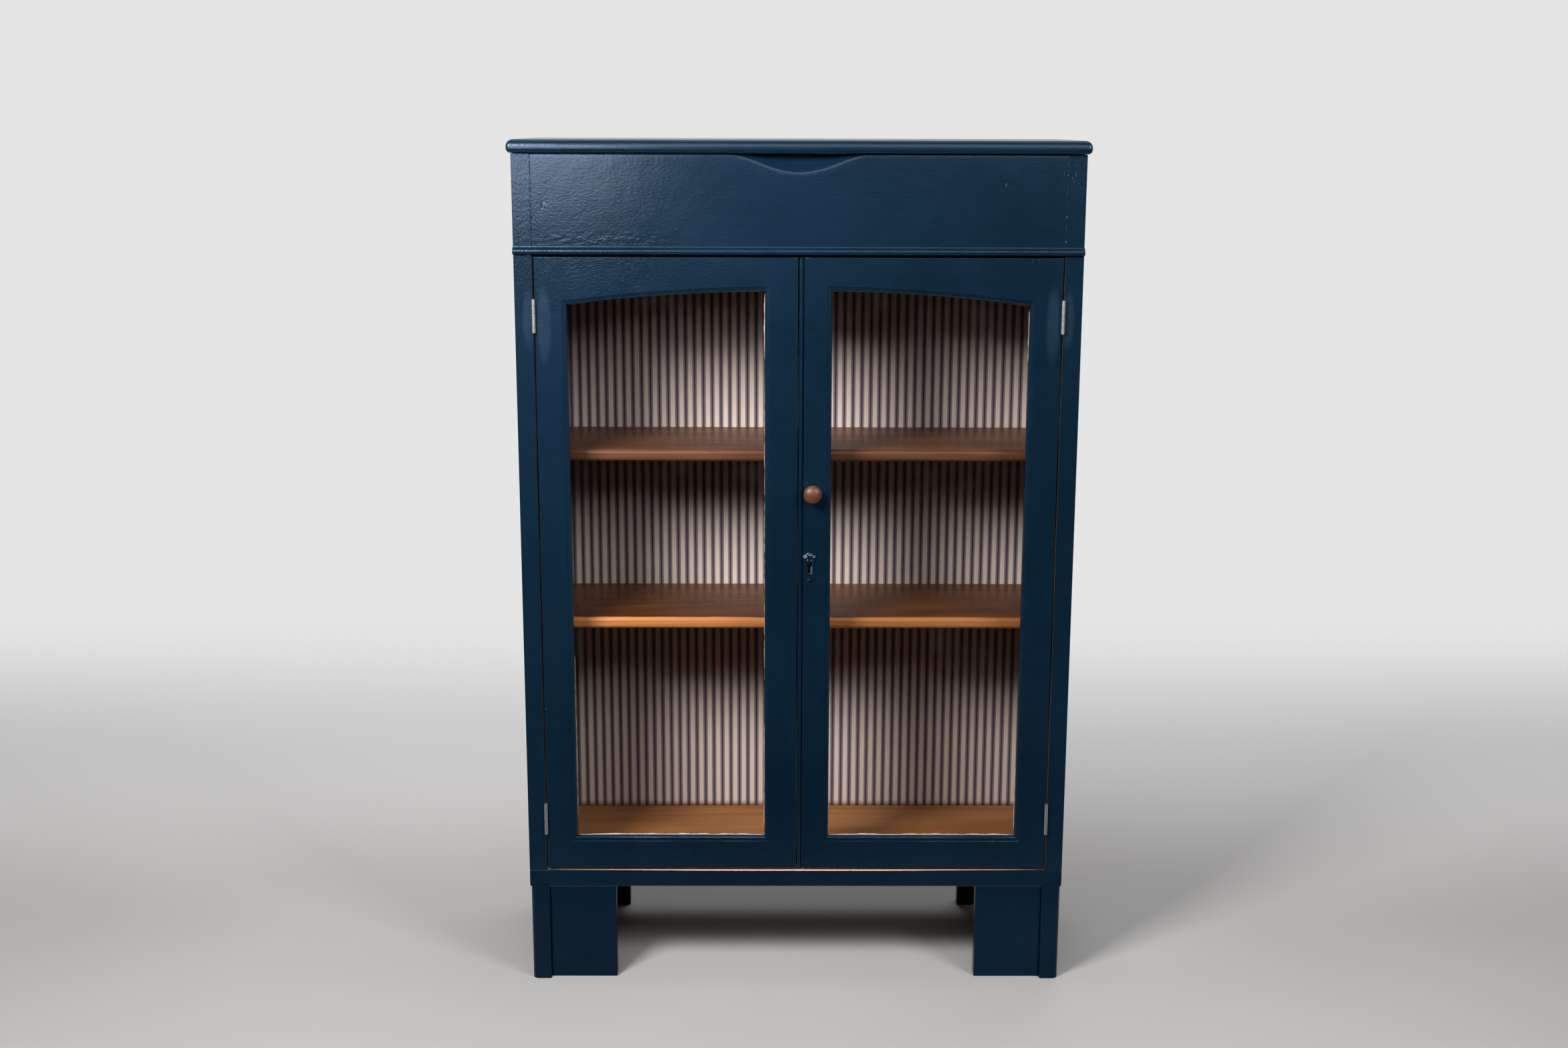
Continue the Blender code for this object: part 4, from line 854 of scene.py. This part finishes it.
# Along each sight edge: start, end and inward direction (across from the middle, up), least and most width,
# and seed
SIGHT_FAR_TOP = arch_height(SIGHT_OUTER, 0.0)
SIGHT_NEAR_TOP = arch_height(SIGHT_INNER, 0.0)
RESIDUE = {
    -1: [
        ((SIGHT_INNER + 0.001, SIGHT_LOW), (SIGHT_OUTER - 0.001, SIGHT_LOW), (0, 1), 0.0007, 0.0022, 1),
        ((SIGHT_INNER, SIGHT_NEAR_TOP - 0.002), (SIGHT_INNER, 0.905), (1, 0), 0.0005, 0.0016, 2),
        ((SIGHT_INNER, 0.900), (SIGHT_INNER, 0.40), (1, 0), 0.0003, 0.0009, 3),
        ((SIGHT_INNER, 0.40), (SIGHT_INNER, SIGHT_LOW + 0.001), (1, 0), 0.0004, 0.0012, 4),
        ((SIGHT_INNER + 0.002, SIGHT_NEAR_TOP), (0.100, arch_height(0.100, 0.0)), (0, -1), 0.0004, 0.0013, 5),
        ((0.292, arch_height(0.292, 0.0)), (SIGHT_OUTER - 0.001, SIGHT_FAR_TOP), (0, -1), 0.0006, 0.0022, 6),
        ((SIGHT_OUTER, 0.500), (SIGHT_OUTER, SIGHT_LOW + 0.012), (-1, 0), 0.0003, 0.0010, 7),
    ],
    1: [
        ((SIGHT_INNER + 0.001, SIGHT_LOW), (SIGHT_OUTER - 0.001, SIGHT_LOW), (0, 1), 0.0006, 0.0019, 11),
        ((SIGHT_INNER, 0.300), (SIGHT_INNER, SIGHT_LOW + 0.002), (1, 0), 0.0003, 0.0010, 12),
        ((SIGHT_OUTER, SIGHT_FAR_TOP - 0.002), (SIGHT_OUTER, 0.90), (-1, 0), 0.0004, 0.0012, 13),
        ((SIGHT_OUTER, 0.330), (SIGHT_OUTER, SIGHT_LOW + 0.002), (-1, 0), 0.0003, 0.0011, 14),
        ((0.285, arch_height(0.285, 0.0)), (SIGHT_OUTER - 0.001, SIGHT_FAR_TOP), (0, -1), 0.0004, 0.0013, 15),
    ],
}


# Fittings

def lathe(shape, profile, steps, origin):
    """Turns (radius, reach) points about a front-to-back axis; reach is towards the front."""
    x, y, z = origin
    rows = []
    for i in range(steps):
        a = 2 * math.pi * i / steps
        ring = [(x + radius * math.cos(a), y - reach, z + radius * math.sin(a)) for radius, reach in profile]
        rows.append([shape.verts.new(point) for point in ring])
    for row, following in zip(rows, rows[1:] + rows[:1]):
        for i in range(len(profile) - 1):
            shape.faces.new((row[i], row[i + 1], following[i + 1], following[i]))
    bmesh.ops.remove_doubles(shape, verts=shape.verts, dist=0.00002)


def knob():
    """The turned knob: a flattened ball on a neck with a flared foot."""
    profile = []
    for i in range(17):
        a = math.pi / 2 * i / 16
        profile.append((KNOB_RADIUS * math.sin(a), KNOB_WIDEST + KNOB_CROWN * math.cos(a)))
    for i in range(1, 15):
        a = math.pi / 2 * i / 14
        swell = (KNOB_RADIUS - KNOB_NECK) * math.cos(a)
        profile.append((KNOB_NECK + swell, KNOB_WIDEST - KNOB_UNDERSIDE * math.sin(a)))
    profile += [(0.00595, 0.0075), (0.0061, 0.0060), (0.0068, 0.0044), (0.0078, 0.0032), (0.0084, 0.0024)]
    profile += [(0.0085, 0.0016), (0.0085, 0.0), (0.0, 0.0)]
    shape = bmesh.new()
    lathe(shape, profile, 64, (KNOB_X, FRONT - FITTING_GAP, KNOB_Z))
    piece("turned_knob", shape, knob_wood(), "right_door", "reddish_knob_wood", "knob", sharp=50)


def plate_outline():
    """The keyhole plate: round foot, drawn-in waist and a crown of three lobes, from its own middle."""
    waist = math.degrees(math.asin(0.010 / 0.0185))
    half = arc((0.0, -0.0117), 0.0097, 270, 345, 14)
    half += arc((0.0065 + 0.0185, 0.0), 0.0185, 180 + waist, 180 - waist, 14)
    half += arc((0.0064, 0.0148), 0.0034, -45, 110, 12)
    half += arc((0.0, 0.016), 0.0054, 40, 90, 8)
    return half + [(-across, up) for across, up in reversed(half[1:-1])]


def reach_along(outline, origin, direction):
    """How far an outline lies from a point inside it, in one direction."""
    best = 0.0
    for (ax, az), (bx, bz) in zip(outline, outline[1:] + outline[:1]):
        ex, ez = bx - ax, bz - az
        det = direction[0] * -ez + direction[1] * ex
        if abs(det) < 1e-12:
            continue
        ox, oz = ax - origin[0], az - origin[1]
        along = (ox * -ez + oz * ex) / det
        share = (direction[0] * oz - direction[1] * ox) / det
        if along > 0 and -1e-6 <= share <= 1 + 1e-6:
            best = max(best, along)
    return best


# Bosses of the plate, from its middle: across, up, radius and height
PLATE_BOSSES = [
    (-0.0064, 0.0150, 0.0030, 0.00075), (0.0064, 0.0150, 0.0030, 0.00075), (0.0, 0.0175, 0.0030, 0.00085),
    (-0.0030, 0.0100, 0.0017, 0.00045), (0.0030, 0.0100, 0.0017, 0.00045), (0.0, -0.0172, 0.0024, 0.00050),
    (-0.0052, -0.0140, 0.0016, 0.00030), (0.0052, -0.0140, 0.0016, 0.00030),
]


def plate_height(across, up, edge, hole):
    """Thickness of the cast plate: a rounded rim, a raised lip round the keyhole and small bosses."""
    rim = min(1.0, max(0.0, edge) / 0.0016)
    rise = 0.0005 + 0.00085 * math.sqrt(max(0.0, 1 - (1 - rim) ** 2))
    lip = 0.00025 * math.exp(-((hole - 0.0010) / 0.0007) ** 2)
    fall = min(1.0, max(0.0, hole) / 0.0004)
    boss = 0
    for x, z, radius, height in PLATE_BOSSES:
        boss += height * math.exp(-(((across - x) ** 2 + (up - z) ** 2) / radius ** 2) ** 1.5)
    return (rise + lip + boss * rim) * (0.85 + 0.15 * fall)


def keyhole_plate():
    """The cast plate: columns of points from its rim to the keyhole, all the way round."""
    centre = (KEYHOLE_X, KEYHOLE_Z - PLATE_DROP)
    outline = plate_outline()
    hole = [(x - centre[0], z - centre[1]) for x, z in keyhole_outline(40)]
    origin = (0.0, -0.0012)
    around, inward = 168, 20
    shares = [k / inward for k in range(inward + 1)]
    rings = []
    for i in range(around):
        a = 2 * math.pi * (i + 0.5) / around
        direction = (math.cos(a), math.sin(a))
        far = reach_along(outline, origin, direction)
        near = reach_along(hole, origin, direction)
        reaches = [far + (near - far) * (t + 0.12 * math.sin(2 * math.pi * t) / math.pi) for t in shares]
        ring = []
        for reach, raised in [(far, 0), *((reach, 1) for reach in reaches), (near, 0)]:
            across = origin[0] + direction[0] * reach
            up = origin[1] + direction[1] * reach
            thickness = raised * plate_height(across, up, far - reach, reach - near)
            ring.append((centre[0] + across, FRONT - FITTING_GAP - thickness, centre[1] + up))
        rings.append(ring)
    shape = bmesh.new()
    skin(shape, rings)
    finish = painted_plate()
    piece("keyhole_scutcheon", shape, finish, "right_door", "painted_brass", "keyhole_plate", sharp=60)


def screw(shape, place, outward, radius, turn, height):
    """A slotted screw head: a thin disc under two halves with a slot between them."""
    outward = Vector(outward).normalized()
    aside = outward.orthogonal().normalized()
    aside = Matrix.Rotation(turn, 3, outward) @ aside
    other = outward.cross(aside)
    place = Vector(place)

    def level(points, at):
        return [place + aside * u + other * v + outward * at for u, v in points]

    disc = arc((0, 0), radius, 0, 345, 23)
    bed = height * 0.35
    shoulder = height * 0.75
    skin(shape, [level(disc, -0.0004), level(disc, bed)], closed=False)
    slot = radius * 0.16
    lean = math.degrees(math.asin(slot / radius))
    for start, end in ((lean, 180 - lean), (180 + lean, 360 - lean)):
        half = arc((0, 0), radius, start, end, 12)
        crown = [(u * 0.82, (v - math.copysign(slot, v)) * 0.82 + math.copysign(slot, v)) for u, v in half]
        skin(shape, [level(half, bed), level(half, shoulder), level(crown, height)], closed=False)


# Heads of the hinges' screws: radius and height
HINGE_SCREW = (0.0021, 0.00009)
# Screws of the lock case and of the guide: body, what they go through, radius, height, places across and up,
# and how their slots turn with each
FITTING_SCREWS = {
    "lock_screws": ("right_door", 0.010, 0.0019, 0.0007, (0.0058, 0.0302), (0.6375, 0.5965), (90, 0)),
    "bolt_guide_screws": ("left_door", 0.0015, 0.0014, 0.0005, (-0.0152, -0.0248), (0.9850, 1.0200), (0, 40)),
}


def hinge_screws(finish):
    """Three screws in each leaf of the door hinges and of the lid hinges, the middle one set back."""
    shapes = {body: bmesh.new() for body in ("carcass", "left_door", "right_door", "lid")}
    rows = list(enumerate((-SCREW_SPACING, 0.0, SCREW_SPACING)))
    insets = [SCREW_INSET, SCREW_INSET + SCREW_STAGGER, SCREW_INSET]
    radius, head = HINGE_SCREW
    for side, tag in SIDES.items():
        for height in HINGE_HEIGHTS:
            for k, rise in rows:
                turn = 0.6 + 1.1 * k + side + height
                for body, way, more in (("carcass", 1, 0.0), (f"{tag}_door", -1, 0.9)):
                    place = (side * (HINGE_X + way * LEAF_FACE), FRONT + insets[k], height + rise)
                    screw(shapes[body], place, (-side * way, 0, 0), radius, turn + more, head)
        middle = (CARCASS_TOP + LID_LOW) / 2
        for k, shift in rows:
            for body, way, turn in (("carcass", 1, 0.4), ("lid", -1, 1.3)):
                deep = FRONT + BODY_DEPTH - insets[k]
                place = (side * LID_HINGE_X + shift, deep, middle - way * LEAF_FACE)
                screw(shapes[body], place, (0, 0, way), radius, turn + k, head)
    for body, shape in shapes.items():
        piece(f"hinge_screws_{body}", shape, finish, body, "worn_steel")


def fitting_screws(finish):
    """Round-headed screws in the lock case and in the slide bolt's guide."""
    for name, (body, thickness, radius, head, columns, rows, turns) in FITTING_SCREWS.items():
        shape = bmesh.new()
        for up in rows:
            for across in columns:
                place = (across, FRONT + FITTING_FACE + thickness, up)
                screw(shape, place, (0, 1, 0), radius, across * turns[0] + up * turns[1], head)
        piece(name, shape, finish, body, "old_brass")


# Carcass

def scoop_depth(x, z):
    """How far the finger scoop goes into the frieze's face."""
    tip = math.hypot(x / SCOOP_HALF, SCOOP_BLUNT) - SCOOP_BLUNT
    t = min(1.0, tip / (math.hypot(1.0, SCOOP_BLUNT) - SCOOP_BLUNT))
    rim = CARCASS_TOP - SCOOP_HEIGHT * (0.6 * (1 - t) + 0.2 * (1 + math.cos(math.pi * t)))
    inside = (z - rim) / SCOOP_HEIGHT
    inside = (inside + math.hypot(inside, SCOOP_RIM)) / 2
    return SCOOP_DEPTH * math.sin(math.pi / 2 * min(1.0, inside))


def frieze(finish):
    """The board under the lid, with its finger scoop and a fine groove at its ends and foot."""
    low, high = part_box("frieze_board")
    columns = [i * 0.0016 for i in range(-60, 61)]
    ends = [high[0] - step for step in (0.0, 0.0003, FRIEZE_GROOVE, 0.030, 0.090, 0.150, 0.210)]
    columns = sorted(columns + ends + [-x for x in ends])
    rows = [low[2] + step for step in (0.0, 0.0003, FRIEZE_FOOT_GROOVE, 0.030, 0.060, 0.090)]
    rows += [high[2] - 0.0008 * i for i in range(38, -1, -1)]
    rings = []
    for x in columns:
        ring = []
        for z in rows:
            at_end = FRIEZE_GROOVE - (high[0] - abs(x))
            groove = max(0.0, at_end, FRIEZE_FOOT_GROOVE - (z - low[2]))
            ring.append((x, FRONT + scoop_depth(x, z) + groove, z))
        rings.append(ring + [(x, high[1], high[2]), (x, high[1], low[2])])
    shape = bmesh.new()
    skin(shape, rings, closed=False)
    piece("frieze_painted", shape, finish, "carcass", "blue_paint", "frieze_board")


def paint_ridges(finish):
    """Lines of paint built up where the frieze meets the sides."""
    for side, tag in SIDES.items():
        shape = bmesh.new()
        line = []
        count = 70
        for i in range(count + 1):
            t = i / count
            lump = wander(i, 5.0, 31 + side) + 0.6 * wander(i, 1.7, 33 + side)
            x = side * (INNER - 0.00015) + 0.00025 * wander(i, 9.0, 35 + side)
            point = (x, FRONT, WAIST_TOP + (CARCASS_TOP - 0.0010 - WAIST_TOP) * t)
            share = 1.0 if 0.02 < t < 0.46 else 0.45
            width = 0.0015 + 0.0013 * max(0.0, lump) * share
            line.append((point, width, 0.00014 + 0.00075 * max(0.0, lump + 0.12) * share))
        ribbon(shape, line, (1, 0, 0))
        piece(f"paint_ridge_{tag}", shape, finish, "carcass", "blue_paint")


def lining(finish):
    """The ticking, stretched over the back panel."""
    shape = bmesh.new()
    bmesh.ops.create_grid(shape, x_segments=72, y_segments=88, size=1.0)
    width = 2 * LINING_HALF
    length = LINING_HIGH - LINING_LOW
    for vertex in shape.verts:
        x = vertex.co.x * width / 2
        z = LINING_LOW + (vertex.co.y + 1) / 2 * length
        swell = 0.00012 * noise.noise(Vector((x * 9, z * 7, 3.1)))
        vertex.co = (x, FRONT + LINING_FRONT + 0.00045 + swell, z)
    obj = piece("ticking_cloth", shape, finish, "carcass", "striped_ticking", "ticking_lining")
    thickness = obj.modifiers.new("thickness", "SOLIDIFY")
    thickness.thickness = 0.0005
    thickness.offset = 0.0


def build_carcass():
    sides = side_paint()
    level = plain_paint("level_paint", "x")
    foot_upright = plain_paint("foot_upright_paint", "z", FOOT_GLOSS)
    foot_level = plain_paint("foot_level_paint", "x", FOOT_GLOSS)
    block_pine = board_wood("block_pine", "z", RAW_PINE, 0.03, 0.3)
    for tag in SIDES.values():
        from_solid(f"side_{tag}", f"side_{tag}_painted", sides)
        for row in ("front", "back"):
            for part, finish in (("side", foot_upright), ("bracket", foot_level)):
                node = f"foot_{part}_{row}_{tag}"
                from_solid(node, f"{node}_painted", finish)
            dress(f"foot_block_{row}_{tag}", block_pine)
    frieze(frieze_paint())
    from_solid("waist_moulding", "waist_moulding_painted", level)
    from_solid("bottom_board", "bottom_painted", bottom_paint())
    for shelf, tones in SHELF_WOODS.items():
        finish = shelf_wood(f"{shelf}_shelf_wood", *tones)
        from_solid(f"shelf_{shelf}", f"shelf_{shelf}_waxed", finish, slot="brown_shelf_wood")
    dress("compartment_floor", board_wood("floor_wood", "x", INSIDE_WOOD, 0.12))
    dress("back_panel", board_wood("panel_pine", "z", DULL_PINE, 0.20, 0.3))
    dress("back_board", board_wood("back_board_wood", "x", INSIDE_WOOD))
    paint_ridges(level)
    lining(ticking())
    from_solid("lid_board", "lid_painted", lid_paint(), "lid")


def build_doors():
    putty_finish = putty()
    glass_finish = glass()
    for side in SIDES:
        door_frame(side)
        glazing(side, putty_finish, glass_finish)
    knob()
    keyhole_plate()


def build_fittings():
    steel_finish = steel()
    brass_finish = brass()
    for tag in SIDES.values():
        hinges = [(f"hinge_{level}_{tag}", "door_leaf", f"{tag}_door") for level in ("upper", "lower")]
        hinges.append((f"lid_hinge_{tag}", "lid_leaf", "lid"))
        for name, leaf, body in hinges:
            made = {"carcass_leaf": ("fixed", "carcass"), leaf: ("moving", body), "pin": ("rivet", "carcass")}
            for part, (suffix, rider) in made.items():
                from_solid(f"{name}_{part}", f"{name}_{suffix}", steel_finish, rider, "worn_steel")
    from_solid("bolt_guide", "bolt_guide_worn", brass_finish, "left_door", "old_brass")
    from_solid("bolt_rod", "bolt_rod_worn", brass_finish, "door_bolt", "old_brass")
    dress("lock_case", brass_finish)
    dress("lock_bolt", brass_finish)
    hinge_screws(steel_finish)
    fitting_screws(brass_finish)


# Stage

CAMERA_PLACE = (-0.0342, -2.65625, 1.2208)
CAMERA_TURNS = [("Z", -0.345), ("X", 90 - 12.13), ("Z", 0.18)]
LAMP_TINT = (1.0, 0.97, 0.95)
WHITE = (1.0, 1.0, 1.0)
CABINET_MIDDLE = (0.0, 0.0, 0.72)


def camera():
    data = bpy.data.cameras.new("photo_view")
    data.sensor_fit = "HORIZONTAL"
    data.sensor_width = 36.0
    data.lens = 42.74
    obj = bpy.data.objects.new("photo_view", data)
    turn = Matrix.Identity(4)
    for axis, angle in CAMERA_TURNS:
        turn = turn @ Matrix.Rotation(math.radians(angle), 4, axis)
    obj.matrix_world = Matrix.Translation(CAMERA_PLACE) @ turn
    bpy.context.scene.collection.objects.link(obj)
    bpy.context.scene.camera = obj


def soft_light(name, place, size, power, target=CABINET_MIDDLE, colour=LAMP_TINT, spread=180):
    data = bpy.data.lights.new(name, "AREA")
    data.shape = "RECTANGLE"
    data.size, data.size_y = size
    data.spread = math.radians(spread)
    data.energy = power
    data.color = colour
    obj = bpy.data.objects.new(name, data)
    obj.location = place
    obj.rotation_euler = (Vector(target) - Vector(place)).to_track_quat("-Z", "Y").to_euler()
    obj.visible_camera = False
    bpy.context.scene.collection.objects.link(obj)
    return obj


def lights():
    """Soft boxes: high on the left, over the middle, on the right, near the lid and behind."""
    soft_light("key", (-0.918, -1.311, 1.700), (0.55, 0.55), 46)
    soft_light("over", (0.110, -1.572, 1.951), (1.2, 1.2), 7.5)
    soft_light("fill", (1.277, -1.522, 1.776), (0.7, 0.7), 27)
    soft_light("near", (-0.500, -0.928, 1.295), (0.4, 0.4), 0.34, target=(-0.34, FRONT, 1.22), spread=60)
    rear = soft_light("rear", (0.3, 1.05, 2.9), (1.6, 0.8), 22, target=(0.0, 0.45, 0.5), colour=WHITE)
    rear.visible_glossy = False


def floor():
    """A pale floor under the cabinet that fades out into the pale surroundings."""
    s = Shader("pale_floor")
    mottle = s.noise(3.0, detail=4.0)
    behind = s.step(s.y, 0.25, 1.9)
    ahead = s.step(s.y, -0.32, -0.52)
    aside = s.step(abs(s.x), 1.1, 2.6)
    near = s.mix(mottle, (0.44, 0.44, 0.44), (0.48, 0.48, 0.483))
    pale = s.mix(s.step(s.y, 0.0, 0.8), near, (0.86, 0.86, 0.865))
    colour = s.mix(s.shown(), (0.12, 0.12, 0.12), pale)
    body = s.add("ShaderNodeBsdfPrincipled", {"Base Color": colour, "Roughness": 0.8})
    clear = s.add("ShaderNodeBsdfTransparent")
    share = s.math("MAXIMUM", behind, s.math("MAXIMUM", ahead, aside))
    s.finish(s.blend(share, body, clear))
    shape = bmesh.new()
    bmesh.ops.create_circle(shape, cap_ends=True, segments=96, radius=3.0)
    obj = mesh_object("pale_floor", shape, s.material)
    obj.location.z = -0.0002


def surroundings():
    """Pale all round where it is seen, dim in front where it is mirrored, and a low even light."""
    world = bpy.data.worlds.new("studio")
    world.use_nodes = True
    bpy.context.scene.world = world
    s = Nodes(world.node_tree)
    seen = Wire(s, s.add("ShaderNodeLightPath").outputs["Is Camera Ray"])
    direction = s.add("ShaderNodeTexCoord").outputs["Generated"]
    towards = s.add("ShaderNodeSeparateXYZ", {"Vector": direction}).outputs["Y"]
    dim = s.step(towards, 0.25, -0.35) * (1.0 - seen)
    shown = s.add("ShaderNodeBackground", {"Color": (1.0, 1.0, 1.006), "Strength": 0.78 - dim * 0.75})
    even = s.add("ShaderNodeBackground", {"Color": WHITE, "Strength": 0.02})
    s.add("ShaderNodeOutputWorld", {"Surface": s.blend(s.shown(), even, shown)})


camera()
build_carcass()
build_doors()
build_fittings()
floor()
lights()
surroundings()
bpy.context.scene.view_settings.view_transform = "Standard"
